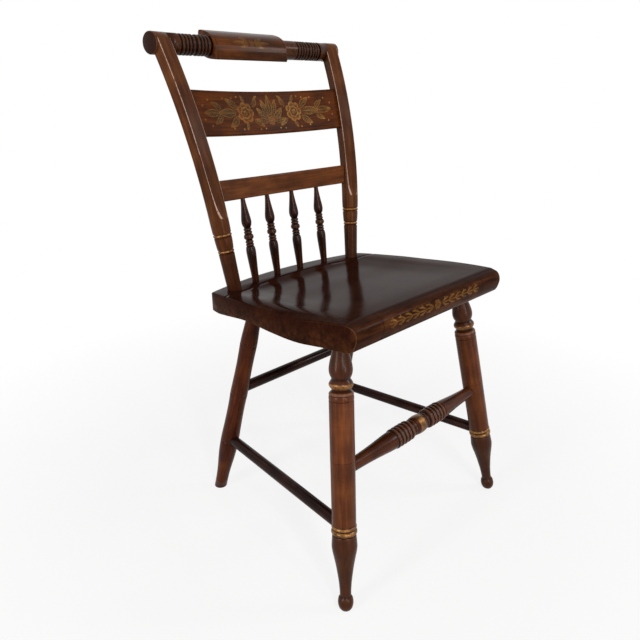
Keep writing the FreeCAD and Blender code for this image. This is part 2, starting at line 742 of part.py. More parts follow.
def seat_plank():
    sections = [
        seat_section(seat_half_width_front * place, dish, dip)
        for place, dish, dip in seat_station_shares]
    plank = Part.makeLoft(sections, True, False).common(seat_outline())
    plank.translate(V(-seat_to_left, 0, 0))
    right_sockets = [
        (front_leg_seat_point, front_leg_seat_point - front_leg_foot_point,
         front_leg_end_thickness, front_leg_tenon),
        (rear_leg_seat_point, rear_leg_seat_point - rear_leg_foot_point,
         rear_leg_end_thickness, rear_leg_tenon),
        (post_foot, post_foot - post_bend_start, post_end_thickness, post_tenon),
    ]
    holes = [deck_groove()]
    for mouth, inward, thickness, depth in right_sockets:
        holes.append(socket(mouth, inward, thickness, depth))
        holes.append(socket(mirrored(mouth), mirrored(inward), thickness, depth))
    for across in spindle_places:
        foot = spindle_foot(across)
        down = foot - rail_underside(across * spindle_fan)
        holes.append(socket(foot, down, spindle_end_thickness, spindle_tenon))
    return plank.cut(holes)


def left_of(solid):
    return solid.mirror(V(0, 0, 0), V(1, 0, 0))


nodes = {
    "seat_plank": seat_plank(),
    "front_leg_right": front_leg,
    "front_leg_left": left_of(front_leg),
    "rear_leg_right": rear_leg,
    "rear_leg_left": left_of(rear_leg),
    "front_stretcher": front_stretcher,
    "side_stretcher_right": side_stretcher,
    "side_stretcher_left": left_of(side_stretcher),
    "rear_stretcher": rear_stretcher,
    "back_post_right": post,
    "back_post_left": left_of(post),
    "crest_rail": crest,
    "back_slat": back_slat,
    "stay_rail": stay_rail,
}
for number, solid in enumerate(spindles, start=1):
    nodes["spindle_%d" % number] = solid

# The chair is set over the middle of its outline, fore and aft
outline = Part.makeCompound(list(nodes.values())).optimalBoundingBox(False, False)
middle = (outline.YMin + outline.YMax) / 2

os.makedirs("parts", exist_ok=True)
for name, shape in nodes.items():
    solid = shape.Solids[0].copy()
    solid.translate(V(0, -middle, 0))
    solid.exportStep("parts/%s.step" % name)
    box = solid.optimalBoundingBox(False, False)
    print("%-22s %d %s %8.1f cm3  x %.1f %.1f  y %.1f %.1f  z %.1f %.1f" % (
        name, len(shape.Solids), solid.isValid(), solid.Volume / 1000,
        box.XMin, box.XMax, box.YMin, box.YMax, box.ZMin, box.ZMax))
print("middle %.2f" % middle)
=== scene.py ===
import math
import bpy
from mathutils import Matrix, Vector, noise


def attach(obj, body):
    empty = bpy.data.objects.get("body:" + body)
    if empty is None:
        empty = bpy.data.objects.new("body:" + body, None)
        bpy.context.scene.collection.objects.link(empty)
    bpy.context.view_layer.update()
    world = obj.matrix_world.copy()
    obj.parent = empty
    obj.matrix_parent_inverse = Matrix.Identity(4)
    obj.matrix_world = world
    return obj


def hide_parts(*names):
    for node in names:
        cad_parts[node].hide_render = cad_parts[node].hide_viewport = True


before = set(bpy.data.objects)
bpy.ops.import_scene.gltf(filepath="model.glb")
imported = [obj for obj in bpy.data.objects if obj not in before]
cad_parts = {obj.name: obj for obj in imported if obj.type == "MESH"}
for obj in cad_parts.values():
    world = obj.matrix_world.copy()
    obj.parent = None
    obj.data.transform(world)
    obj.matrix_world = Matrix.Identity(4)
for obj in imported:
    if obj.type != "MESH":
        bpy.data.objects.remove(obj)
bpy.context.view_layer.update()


# Front legs. Two maple legs turned on a lathe: a vase, a ring, a long barrel, a pair of rings, a
# tapered ankle and a ball foot. They are painted brown over red, ringed with bronze powder and
# varnished, and their tenons stand in the seat.

# How far the chair's middle lies behind the mark that it was laid out from
chair_middle = 54.23
turning_steps = 64
swell_steps = 4
bead_side_steps = 4
bead_radius_share = 0.5667
turned_merge = 0.00001
turned_smooth_angle = 42
# A point stands proud or sunk against the outline's mean at these places before and behind it
around_shifts = (-3, -1.5, 1.5, 3)
full_relief = 0.7

front_leg_top = (159.3, -106.4, 431)
front_leg_foot = (218.9, -183.2, 0)
front_leg_thickness = 41.1
front_leg_tenon = (25, 22)

front_leg_table = [
    (0.000, 0.535, "flat"),
    (0.022, 0.565, "swell"), (0.047, 0.655, "swell"), (0.078, 0.820, "swell"),
    (0.103, 0.895, "swell"), (0.120, 0.850, "swell"), (0.133, 0.735, "swell"),
    (0.1365, 0.705, "flat"),
    (0.1560, 0.925, "swell"), (0.1750, 0.705, "swell"),
    (0.1785, 0.705, "flat"), (0.1805, 0.800, "flat"), (0.1840, 0.885, "swell"),
    (0.1885, 0.940, "swell"), (0.1915, 0.925, "swell"),
    (0.1925, 0.905, "flat"), (0.1940, 0.930, "flat"),
    (0.2030, 0.955, "swell"), (0.2110, 0.935, "swell"),
    (0.2120, 0.915, "flat"), (0.2135, 0.945, "flat"),
    (0.4288, 0.950, "flat"), (0.4296, 0.930, "flat"), (0.4304, 0.948, "flat"),
    (0.6650, 0.935, "flat"), (0.6670, 0.880, "flat"), (0.6695, 0.900, "flat"),
    (0.6815, 0.900, "bead"), (0.6835, 0.870, "flat"), (0.6855, 0.900, "flat"),
    (0.7025, 0.900, "bead"), (0.7050, 0.880, "flat"), (0.7070, 0.925, "flat"),
    (0.7200, 0.956, "swell"), (0.7350, 0.980, "swell"), (0.7520, 0.998, "swell"),
    (0.7720, 0.945, "swell"),
    (0.8000, 0.820, "swell"), (0.8320, 0.690, "swell"), (0.8560, 0.615, "swell"),
    (0.8900, 0.515, "swell"), (0.9250, 0.455, "swell"), (0.9390, 0.450, "swell"),
    (0.9450, 0.420, "flat"),
    (0.9560, 0.570, "swell"), (0.9740, 0.612, "swell"), (0.9900, 0.540, "swell"),
    (0.9985, 0.420, "swell"), (1.0000, 0.400, "flat"),
]
front_leg_gilded_shares = [(0.1505, 0.1680), (0.6700, 0.6810), (0.6860, 0.7020)]
# Painted shade darkens the vase under the seat and the leg from the rings to the foot, and a dark
# line fills the barrel's scribed line
front_leg_darker_shares = [
    (0, 0.7), (0.130, 0.6), (0.165, 0.45), (0.185, 0.12), (0.4289, 0.08), (0.4296, 0.95),
    (0.4303, 0.22), (0.690, 0.35), (0.720, 0.75), (0.930, 0.75), (1, 0.55),
]


def place(point):
    """A place in metres, from millimetres off the mark that the chair was laid out from."""
    return Vector((point[0], point[1] - chair_middle, point[2])) / 1000


def on_left(point):
    """The place's mirror image on the chair's left."""
    return (-point[0], point[1], point[2])


def partway(start, end, share):
    return tuple(Vector(start).lerp(Vector(end), share))


def nothing_selected():
    if bpy.context.object and bpy.context.object.mode != "OBJECT":
        bpy.ops.object.mode_set(mode="OBJECT")
    bpy.ops.object.select_all(action="DESELECT")


def picked(piece):
    """Only this piece is selected, and it is active."""
    nothing_selected()
    piece.select_set(True)
    bpy.context.view_layer.objects.active = piece


def smooth_run(points, steps):
    """More points along a smooth curve through the given ones."""
    ends = [points[0] * 2 - points[1]] + points + [points[-1] * 2 - points[-2]]
    run = []
    for before, here, there, after in zip(ends, ends[1:], ends[2:], ends[3:]):
        for step in range(steps):
            t = step / steps
            run.append((
                here * 2 + (there - before) * t
                + (before * 2 - here * 5 + there * 4 - after) * t ** 2
                + (here * 3 - before - there * 3 + after) * t ** 3) / 2)
    return run + [points[-1]]


def bead_run(start, end):
    """A half-round that rises above its two edges by three tenths of its width."""
    chord = end - start
    radius = chord.length * bead_radius_share
    half_angle = math.asin(0.5 / bead_radius_share)
    along = chord.normalized()
    out = Vector((-along.y, along.x))
    middle = (start + end) / 2
    run = []
    for step in range(-bead_side_steps, bead_side_steps + 1):
        angle = half_angle * step / bead_side_steps
        rise = radius * (math.cos(angle) - math.cos(half_angle))
        run.append(middle + along * radius * math.sin(angle) + out * rise)
    return run


def lathe_outline(rows):
    """Points (along, out) of a turned outline, from one end of its axis to the other."""
    points = [Vector((along, out)) for along, out, _ in rows]
    outline = [Vector((points[0].x, 0)), points[0]]
    first = 0
    for last in range(1, len(rows)):
        form = rows[last][2]
        if form == "swell" and last + 1 < len(rows) and rows[last + 1][2] == "swell":
            continue
        run = points[first:last + 1]
        if form == "bead":
            outline += bead_run(run[0], run[1])[1:]
        elif form == "swell" and len(run) > 2:
            outline += smooth_run(run, swell_steps)[1:]
        else:
            outline.append(run[-1])
        first = last
    return outline + [Vector((points[-1].x, 0))]


def table_rows(table, length, thickness, tenon=None):
    """Rows in millimetres; the tenon is its length and thickness, ahead of the first row."""
    start = tenon[0] if tenon else 0
    rows = [(0, tenon[1] / 2, "flat"), (start, tenon[1] / 2, "flat")] if tenon else []
    for along, out, form in table:
        rows.append((start + along * length, out * thickness / 2, form))
    return rows


def out_around(outline, along):
    """Mean distance out of the outline before and behind a place along it."""
    total = 0
    for shift in around_shifts:
        near = outline[1].y
        for here, there in zip(outline[1:-1], outline[2:-1]):
            if here.x <= along + shift <= there.x:
                share = (along + shift - here.x) / max(there.x - here.x, 0.001)
                near = here.y + (there.y - here.y) * share
                break
            if there.x < along + shift:
                near = there.y
        total += near / len(around_shifts)
    return total


def marked(mesh):
    """Marks on the mesh for its finish: the place along the grain, and how proud a point stands,
    which gives wear and painted highlights on crests.
    """
    mesh.attributes.new("along_grain", "FLOAT_VECTOR", "POINT")
    mesh.attributes.new("relief", "FLOAT", "POINT")
    return mesh.attributes["along_grain"], mesh.attributes["relief"]


def turned(name, rows, gilded=(), darker=()):
    """A piece turned about +Z from rows in millimetres, with its gilded lengths marked. Pairs of
    a place along it and a depth of colour tell where darker colour lies: painted shade, or a dark
    scribed line."""
    outline = lathe_outline(rows)
    nothing_selected()
    bpy.ops.mesh.primitive_plane_add(size=0.001, location=(0, 0, 0))
    piece = bpy.context.object
    piece.name = name
    bpy.ops.object.mode_set(mode="EDIT")
    bpy.ops.mesh.select_all(action="SELECT")
    bpy.ops.mesh.merge(type="CENTER")
    here = Vector((0, 0, 0))
    for along, out in outline[1:]:
        there = Vector((out, 0, along)) / 1000
        bpy.ops.mesh.extrude_region_move(TRANSFORM_OT_translate={"value": there - here})
        here = there
    bpy.ops.mesh.select_all(action="SELECT")
    bpy.ops.mesh.spin(
        steps=turning_steps, angle=2 * math.pi, center=(0, 0, 0), axis=(0, 0, 1))
    bpy.ops.mesh.select_all(action="SELECT")
    bpy.ops.mesh.remove_doubles(threshold=turned_merge)
    bpy.ops.mesh.normals_make_consistent(inside=False)
    bpy.ops.object.mode_set(mode="OBJECT")

    mesh = piece.data
    grain, relief = marked(mesh)
    around = {}
    for index, vertex in enumerate(mesh.vertices):
        grain.data[index].vector = vertex.co
        along = round(vertex.co.z * 1000, 2)
        out = math.hypot(vertex.co.x, vertex.co.y) * 1000
        if along not in around:
            around[along] = out_around(outline, along)
        relief.data[index].value = max(-1, min(1, (out - around[along]) / full_relief))
    if darker:
        mesh.attributes.new("dark_coat_and_shade", "FLOAT", "POINT")
        cover = mesh.attributes["dark_coat_and_shade"].data
        for index, vertex in enumerate(mesh.vertices):
            along = vertex.co.z * 1000
            depth = darker[0][1]
            for (low, low_depth), (high, high_depth) in zip(darker, darker[1:]):
                if along >= low:
                    share = min(1, (along - low) / (high - low))
                    depth = low_depth + (high_depth - low_depth) * share
            cover[index].value = depth
    for face in mesh.polygons:
        along = face.center.z * 1000
        face.material_index = int(any(low < along < high for low, high in gilded))
    picked(piece)
    bpy.ops.object.shade_smooth_by_angle(angle=math.radians(turned_smooth_angle))
    return piece


def copied(piece, name):
    """A twin of the piece, with a mesh of its own."""
    twin = piece.copy()
    twin.data = piece.data.copy()
    twin.name = name
    bpy.context.scene.collection.objects.link(twin)
    return twin


def stood(piece, start, end):
    """The piece, made along +Z, laid along the line from start towards end and left there."""
    way = (end - start).normalized()
    turn = way.to_track_quat("Z", "Y").to_matrix().to_4x4()
    piece.matrix_world = Matrix.Translation(start) @ turn
    picked(piece)
    bpy.ops.object.transform_apply(location=True, rotation=True, scale=True)
    return piece


def linear(code):
    """An sRGB hex colour as linear values."""
    values = []
    for start in (1, 3, 5):
        value = int(code[start:start + 2], 16) / 255
        values.append(value / 12.92 if value <= 0.04045 else ((value + 0.055) / 1.055) ** 2.4)
    return tuple(values) + (1,)


def add(material, kind, settings, inputs, stops=()):
    """A node with its settings and links; an input is a value or another node's output. Stops
    are pairs of a position and a hex colour, where the node lays colours along its factor."""
    node = material.node_tree.nodes.new("ShaderNode" + kind)
    for key, value in settings.items():
        setattr(node, key, value)
    for key, value in inputs.items():
        if isinstance(value, bpy.types.NodeSocket):
            material.node_tree.links.new(value, node.inputs[key])
        else:
            node.inputs[key].default_value = value
    if stops:
        elements = node.color_ramp.elements
        for position, _ in stops[2:]:
            elements.new(position)
        for element, (position, colour) in zip(elements, stops):
            element.position = position
            element.color = linear(colour)
    return node


def new_material(name):
    """A material and its Principled node."""
    material = bpy.data.materials.new(name)
    material.use_nodes = True
    return material, material.node_tree.nodes["Principled BSDF"]


def stencilled(material, metal, ground, where):
    """Bronze powder rubbed through a stencil, over dark leaf centres. Both are drawn on the mesh;
    the powder is thin in specks of 2 mm, and brighter and duller in clouds of 14 mm."""
    drawn_dark = add(material, "Attribute", {"attribute_name": "leaf_dark"}, {})
    drawn_gilt = add(material, "Attribute", {"attribute_name": "gilt"}, {})
    shaded = add(material, "Mix", {"data_type": "RGBA"}, {
        "Factor": drawn_dark.outputs["Fac"], 6: ground, 7: linear("#211d10")})
    specks = add(material, "TexNoise", {}, {
        "Vector": where, "Scale": 1 / 0.0022, "Detail": 3, "Roughness": 0.65})
    held = add(material, "MapRange", {}, {
        "Value": specks.outputs["Fac"], "From Min": 0.34, "From Max": 0.58,
        "To Min": 0.35, "To Max": 1})
    amount = add(material, "Math", {"operation": "MULTIPLY"}, {
        0: drawn_gilt.outputs["Fac"], 1: held.outputs["Result"]})
    tone = add(material, "TexNoise", {}, {
        "Vector": where, "Scale": 1 / 0.014, "Detail": 3, "Roughness": 0.6})
    powder = add(material, "ValToRGB", {}, {"Fac": tone.outputs["Fac"]}, [
        (0.35, "#8c602a"), (0.65, "#b88544")])
    gilt = add(material, "Mix", {"data_type": "RGBA"}, {
        "Factor": amount.outputs["Value"], 6: shaded.outputs[2], 7: powder.outputs["Color"]})
    shine = add(material, "Math", {"operation": "MULTIPLY"}, {0: amount.outputs["Value"], 1: 0.3})
    material.node_tree.links.new(shine.outputs["Value"], metal.inputs["Metallic"])
    return gilt.outputs[2]


coat_positions = (0.28, 0.45, 0.58, 0.76)


def grained_paint(name, coats, wear_and_highlight, sunk, coordinates, grain_size, line_size, roughness,
                  gloss_index=1.17, over=None, stencil=False, positions=coat_positions):
    """Brown paint brushed over a red ground and varnished: streaks of four tones along the grain
    with clouds of 45 mm, paler in scuffs of 6 mm on the crests and marked edges, where the pale
    colour stands for wear and for painted highlights, and darker in the grooves. The varnish has
    worn thin, so its gloss is weak. A darker colour may lie over a part of the piece, as a darker
    coat or as painted shade, and a stencil on it. The two sizes are one over a streak's and a tool
    line's real lengths, in metres, along each axis."""
    material, paint = new_material(name)
    if coordinates == "object":
        where = add(material, "TexCoord", {}, {}).outputs["Object"]
    else:
        where = add(material, "Attribute", {"attribute_name": coordinates}, {}).outputs["Vector"]
    streak_place = add(material, "Mapping", {}, {"Vector": where, "Scale": grain_size})
    streaks = add(material, "TexNoise", {}, {
        "Vector": streak_place.outputs["Vector"], "Scale": 1, "Detail": 5, "Roughness": 0.62})
    clouds = add(material, "TexNoise", {}, {
        "Vector": where, "Scale": 1 / 0.045, "Detail": 3, "Roughness": 0.5})
    blend = add(material, "Math", {"operation": "MULTIPLY_ADD"}, {
        0: clouds.outputs["Fac"], 1: 0.7, 2: -0.35})
    total = add(material, "Math", {"operation": "ADD"}, {
        0: streaks.outputs["Fac"], 1: blend.outputs["Value"]})
    tones = list(zip(positions, coats))
    coat = add(material, "ValToRGB", {}, {"Fac": total.outputs["Value"]}, tones)
    relief = add(material, "Attribute", {"attribute_name": "relief"}, {})
    # Pale colour on the crests is partly wear and partly painted highlight; the grooves get darker
    # colour
    crest = add(material, "MapRange", {}, {
        "Value": relief.outputs["Fac"], "From Min": 0.35, "From Max": 1,
        "To Min": 0, "To Max": 0.6})
    hollow = add(material, "MapRange", {}, {
        "Value": relief.outputs["Fac"], "From Min": -0.1, "From Max": -0.8,
        "To Min": 0, "To Max": 0.85})
    scuffs = add(material, "TexNoise", {}, {
        "Vector": where, "Scale": 1 / 0.006, "Detail": 4, "Roughness": 0.7})
    scuff_edge = add(material, "MapRange", {}, {
        "Value": scuffs.outputs["Fac"], "From Min": 0.3, "From Max": 0.5,
        "To Min": 0.1, "To Max": 1})
    wear_and_highlight_share = add(material, "Math", {"operation": "MULTIPLY"}, {
        0: crest.outputs["Result"], 1: scuff_edge.outputs["Result"]})
    rubbed = add(material, "Mix", {"data_type": "RGBA"}, {
        "Factor": wear_and_highlight_share.outputs["Value"], 6: coat.outputs["Color"], 7: linear(wear_and_highlight)})
    settled = add(material, "Mix", {"data_type": "RGBA"}, {
        "Factor": hollow.outputs["Result"], 6: rubbed.outputs[2], 7: linear(sunk)})
    line_place = add(material, "Mapping", {}, {"Vector": where, "Scale": line_size})
    lines = add(material, "TexNoise", {}, {
        "Vector": line_place.outputs["Vector"], "Scale": 1, "Detail": 2, "Roughness": 0.5})
    shade = add(material, "MapRange", {}, {
        "Value": lines.outputs["Fac"], "From Min": 0.3, "From Max": 0.7,
        "To Min": 0.88, "To Max": 1.1})
    toned = add(material, "VectorMath", {"operation": "SCALE"}, {
        0: settled.outputs[2], "Scale": shade.outputs["Result"]})
    colour = toned.outputs["Vector"]
    # The colour laid over is painted shade on the legs and posts, and the darker top coat on the
    # seat
    if over:
        cover = add(material, "Attribute", {"attribute_name": "dark_coat_and_shade"}, {})
        covered = add(material, "Mix", {"data_type": "RGBA"}, {
            "Factor": cover.outputs["Fac"], 6: colour, 7: linear(over)})
        colour = covered.outputs[2]
    if stencil:
        colour = stencilled(material, paint, colour, where)
    gloss = add(material, "MapRange", {}, {
        "Value": clouds.outputs["Fac"], "From Min": 0.3, "From Max": 0.7,
        "To Min": roughness - 0.03, "To Max": roughness + 0.05})
    height = add(material, "Math", {"operation": "ADD"}, {
        0: lines.outputs["Fac"], 1: streaks.outputs["Fac"]})
    bump = add(material, "Bump", {}, {
        "Height": height.outputs["Value"], "Strength": 0.22, "Distance": 0.0002})
    links = material.node_tree.links
    links.new(colour, paint.inputs["Base Color"])
    links.new(gloss.outputs["Result"], paint.inputs["Roughness"])
    links.new(bump.outputs["Normal"], paint.inputs["Normal"])
    paint.inputs["IOR"].default_value = gloss_index
    return material


def bronze_gilding(name, bright, dull, under):
    """Bronze powder laid in tacky varnish: a soft metal shine, rubbed through to the paint in
    specks and browned by the varnish over it."""
    material, metal = new_material(name)
    where = add(material, "TexCoord", {}, {}).outputs["Object"]
    tone = add(material, "TexNoise", {}, {
        "Vector": where, "Scale": 1 / 0.012, "Detail": 4, "Roughness": 0.65})
    specks = add(material, "TexNoise", {}, {
        "Vector": where, "Scale": 1 / 0.0025, "Detail": 3, "Roughness": 0.7})
    powder = add(material, "ValToRGB", {}, {"Fac": tone.outputs["Fac"]}, [
        (0.35, dull), (0.65, bright)])
    rubbed = add(material, "MapRange", {}, {
        "Value": specks.outputs["Fac"], "From Min": 0.56, "From Max": 0.68,
        "To Min": 0, "To Max": 0.8})
    colour = add(material, "Mix", {"data_type": "RGBA"}, {
        "Factor": rubbed.outputs["Result"], 6: powder.outputs["Color"], 7: linear(under)})
    shine = add(material, "MapRange", {}, {
        "Value": rubbed.outputs["Result"], "From Min": 0, "From Max": 1,
        "To Min": 0.75, "To Max": 0.1})
    gloss = add(material, "MapRange", {}, {
        "Value": tone.outputs["Fac"], "From Min": 0.3, "From Max": 0.7,
        "To Min": 0.3, "To Max": 0.45})
    bump = add(material, "Bump", {}, {
        "Height": specks.outputs["Fac"], "Strength": 0.3, "Distance": 0.0002})
    links = material.node_tree.links
    links.new(colour.outputs[2], metal.inputs["Base Color"])
    links.new(shine.outputs["Result"], metal.inputs["Metallic"])
    links.new(gloss.outputs["Result"], metal.inputs["Roughness"])
    links.new(bump.outputs["Normal"], metal.inputs["Normal"])
    return material


# Streaks of the brush, 6 mm wide and 80 mm long, and fine rings that the turner's gouge left
turned_grain = (1 / 0.006, 1 / 0.006, 1 / 0.08)
gouge_rings = (6, 6, 1 / 0.0013)
# The paint's pale colour marks wear and painted highlights on the crests, and its colour laid over
# is painted shade
turned_paint = grained_paint(
    "varnished brown paint on turned maple",
    ("#4c2511", "#5f3017", "#6e3a1c", "#7f4923"),
    "#8c6450", "#180805", "along_grain", turned_grain, gouge_rings, 0.28, 1.22, "#2e170a")
gold_rings = bronze_gilding("bronze powder gilding", "#976937", "#5a391b", "#2c130a")


def dressed(piece, nodes, finishes):
    """The piece gets its finishes, rides with the chair and stands for its CAD solids."""
    for finish in finishes:
        piece.data.materials.append(finish)
    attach(piece, "root")
    if nodes:
        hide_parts(*nodes)
    return piece


def leg_pair(name, table, top, foot, thickness, tenon, gilded_shares, darker_shares, finishes):
    """A leg turned once and copied; each stands from its tenon in the seat down to the floor."""
    way = (Vector(foot) - Vector(top)).normalized()
    length = (Vector(foot) - Vector(top)).length
    gilded = [(tenon[0] + low * length, tenon[0] + high * length) for low, high in gilded_shares]
    darker = [(tenon[0] + along * length, depth) for along, depth in darker_shares]
    rows = table_rows(table, length, thickness, tenon)
    right = turned(name + "_right_turning", rows, gilded, darker)
    left = copied(right, name + "_left_turning")
    tenon_end = tuple(Vector(top) - way * tenon[0])
    stood(right, place(tenon_end), place(foot))
    stood(left, place(on_left(tenon_end)), place(on_left(foot)))
    for piece, side in ((right, "_right"), (left, "_left")):
        picked(piece)
        bpy.ops.object.mode_set(mode="EDIT")
        bpy.ops.mesh.select_all(action="SELECT")
        bpy.ops.mesh.bisect(
            plane_co=(0, 0, 0), plane_no=(0, 0, 1), clear_inner=True, use_fill=True)
        bpy.ops.object.mode_set(mode="OBJECT")
        dressed(piece, [name + side], finishes)


leg_pair(
    "front_leg", front_leg_table, front_leg_top, front_leg_foot, front_leg_thickness,
    front_leg_tenon, front_leg_gilded_shares, front_leg_darker_shares,
    [turned_paint, gold_rings])


# Rear legs. Thinner maple turnings that swell gently to three scribed joints, like bamboo, with
# a plain foot. Their paint is redder than that of the front legs, and they have no gold.
rear_leg_top = (136.4, 121.3, 415)
rear_leg_foot = (174.9, 217.6, 0)
rear_leg_thickness = 36
rear_leg_tenon = (21, 22)

# Its colour laid over is painted shade under the seat and towards the foot
rear_leg_paint = grained_paint(
    "varnished brown paint on the turned rear legs",
    ("#3a180b", "#4c2210", "#5c2b12", "#6c3817"),
    "#8a5636", "#160805", "along_grain", turned_grain, gouge_rings, 0.26, 1.17, "#2a1008")

rear_leg_table = [
    (0.000, 0.640, "flat"),
    (0.060, 0.740, "swell"), (0.110, 0.812, "swell"), (0.150, 0.864, "swell"),
    (0.178, 0.888, "swell"),
    (0.1800, 0.855, "flat"), (0.1820, 0.888, "flat"),
    (0.230, 0.866, "swell"), (0.290, 0.850, "swell"), (0.350, 0.872, "swell"),
    (0.400, 0.905, "swell"), (0.438, 0.930, "swell"),
    (0.4400, 0.897, "flat"), (0.4420, 0.930, "flat"),
    (0.500, 0.897, "swell"), (0.560, 0.905, "swell"), (0.630, 0.945, "swell"),
    (0.680, 0.987, "swell"), (0.707, 1.000, "swell"),
    (0.7090, 0.965, "flat"), (0.7110, 1.000, "flat"),
    (0.750, 0.990, "swell"), (0.790, 0.950, "swell"), (0.830, 0.878, "swell"),
    (0.870, 0.790, "swell"), (0.910, 0.726, "swell"), (0.950, 0.692, "swell"),
    (1.030, 0.680, "flat"),
]
# Painted shade darkens the top under the seat, and a little towards the foot
rear_leg_shade_shares = [(0, 0.4), (0.250, 0), (1, 0.2)]

leg_pair(
    "rear_leg", rear_leg_table, rear_leg_top, rear_leg_foot, rear_leg_thickness,
    rear_leg_tenon, [], rear_leg_shade_shares, [rear_leg_paint])


# Stretchers. A turned maple front stretcher with five rings each side of a gilded ball, and plain
# round bars at the sides and the rear. Their ends are driven into bored holes in the legs.
front_stretcher_share = 0.4705
front_stretcher_thickness = 33.4
front_stretcher_ball_share = 0.5067
side_stretcher_front_share = 0.6820
side_stretcher_rear_share = 0.7020
side_stretcher_thickness = 20.4
rear_stretcher_share = 0.4192
rear_stretcher_thickness = 21

front_stretcher_half = [
    (0.0000, 0.629, "flat"),
    (0.0870, 0.650, "swell"), (0.1390, 0.690, "swell"), (0.1910, 0.757, "swell"),
    (0.2480, 0.857, "swell"), (0.2850, 0.925, "swell"), (0.3140, 0.955, "swell"),
    (0.3160, 0.870, "flat"), (0.3185, 0.900, "flat"),
    (0.3400, 0.905, "bead"), (0.3430, 0.910, "flat"), (0.3640, 0.914, "bead"),
    (0.3670, 0.914, "flat"), (0.3880, 0.914, "bead"), (0.3910, 0.914, "flat"),
    (0.4120, 0.908, "bead"), (0.4150, 0.900, "flat"), (0.4360, 0.890, "bead"),
    (0.4380, 0.820, "flat"), (0.4500, 0.838, "flat"),
    (0.4530, 0.850, "flat"), (0.4600, 0.850, "bead"), (0.4620, 0.868, "flat"),
    (0.4750, 0.955, "swell"), (0.5000, 1.000, "swell"),
]
front_stretcher_gilded_shares = [(0.4880, 0.5260)]

plain_stretcher_half = [
    (0.000, 0.980, "flat"),
    (0.060, 0.985, "swell"), (0.250, 0.995, "swell"), (0.500, 1.000, "swell"),
]


def both_halves(half, middle_share):
    """Rows for the whole bar from a table that ends at its middle, which may stand off centre."""
    rows = [(along * 2 * middle_share, out, form) for along, out, form in half]
    for index in range(len(half) - 1, 0, -1):
        along, out, _ = half[index - 1]
        rows.append((1 - along * 2 * (1 - middle_share), out, half[index][2]))
    return rows


front_bar_paint = grained_paint(
    "varnished brown paint on the front stretcher",
    ("#36180b", "#45200f", "#532912", "#633718"),
    "#74503a", "#150806", "along_grain", turned_grain, gouge_rings, 0.22, 1.22)
plain_bar_paint = grained_paint(
    "varnished dark paint on the plain stretchers",
    ("#180c0a", "#25130f", "#331c15", "#45281b"),
    "#6a4636", "#0d0504", "along_grain", (1 / 0.005, 1 / 0.005, 1 / 0.06), gouge_rings, 0.2)


def stretcher(name, half, thickness, start, end, finish, middle_share=0.5, gilded_shares=()):
    """A bar turned from the table of its half and laid between two places on the legs' axes."""
    length = (Vector(end) - Vector(start)).length
    gilded = [(low * length, high * length) for low, high in gilded_shares]
    rows = table_rows(both_halves(half, middle_share), length, thickness)
    piece = turned(name + "_turning", rows, gilded)
    stood(piece, place(start), place(end))
    dressed(piece, [name], [finish, gold_rings])


front_crossing = partway(front_leg_top, front_leg_foot, front_stretcher_share)
side_crossing = partway(front_leg_top, front_leg_foot, side_stretcher_front_share)
side_far_crossing = partway(rear_leg_top, rear_leg_foot, side_stretcher_rear_share)
rear_crossing = partway(rear_leg_top, rear_leg_foot, rear_stretcher_share)
stretcher(
    "front_stretcher", front_stretcher_half, front_stretcher_thickness,
    on_left(front_crossing), front_crossing, front_bar_paint, front_stretcher_ball_share,
    front_stretcher_gilded_shares)
for name, thickness, start, end in (
        ("side_stretcher_right", side_stretcher_thickness, side_crossing, side_far_crossing),
        ("side_stretcher_left", side_stretcher_thickness,
         on_left(side_crossing), on_left(side_far_crossing)),
        ("rear_stretcher", rear_stretcher_thickness, on_left(rear_crossing), rear_crossing)):
    stretcher(name, plain_stretcher_half, thickness, start, end, plain_bar_paint)


# Seat. One thick pine plank, dished for the sitter, with a rolled front edge, bulging sides, a
# bowed rear edge and a V groove cut along an arc in front of the posts. It is painted nearly
# black over brown, stencilled on the roll with bronze powder and varnished to a gloss.
seat_front = -170.5
seat_depth = 349.5
seat_half_front = 192
seat_half_rear = 188
seat_bulge = 15
seat_bow = 34
seat_low = 409
seat_rise = 67.5
seat_dish = 8
seat_dip = 6
seat_to_left = 3
seat_rear_corner = 6
seat_edge = 2.2
# How far a rounded edge's middle point lies in from both faces, as a share of the edge's radius
edge_middle_share = 0.3
groove_middle = 160
groove_radius = 570
groove_half_width = 2.6
groove_depth = 1.6
groove_clear = 3.2
scribe_side = 133
scribe_half_width = 0.6

# Points of a fore-and-aft section: behind the groove, in it, before it, on the roll, underneath
deck_rear_steps = 8
groove_points = 5
deck_steps = 44
roll_steps = 13
under_steps = 30
deck_points = 1 + deck_rear_steps + groove_points + deck_steps
# Sections lie 0.95 mm apart where the roll is stencilled, and wider near the plank's ends
close_sections = 144
section_spacing = 0.95
wide_sections = 14
wide_outer_share = 0.985
wide_inner_share = 0.716

seat_top_table = [
    (0.060, 1.000), (0.155, 0.962), (0.310, 0.882), (0.500, 0.770), (0.640, 0.700),
    (0.760, 0.632), (0.870, 0.572), (0.945, 0.530), (1.000, 0.489), (1.200, 0.360),
]
seat_dish_table = [
    (0.060, 0.0), (0.155, 0.15), (0.310, 0.50), (0.500, 0.78), (0.640, 0.92),
    (0.760, 1.00), (0.870, 0.90), (0.945, 0.12), (1.000, 0.0), (1.200, 0.0),
]
seat_across_table = [
    (0.0, 1.0), (0.30, 1.0), (0.58, 0.86), (0.78, 0.42), (0.93, 0.0), (1.15, 0.0),
]
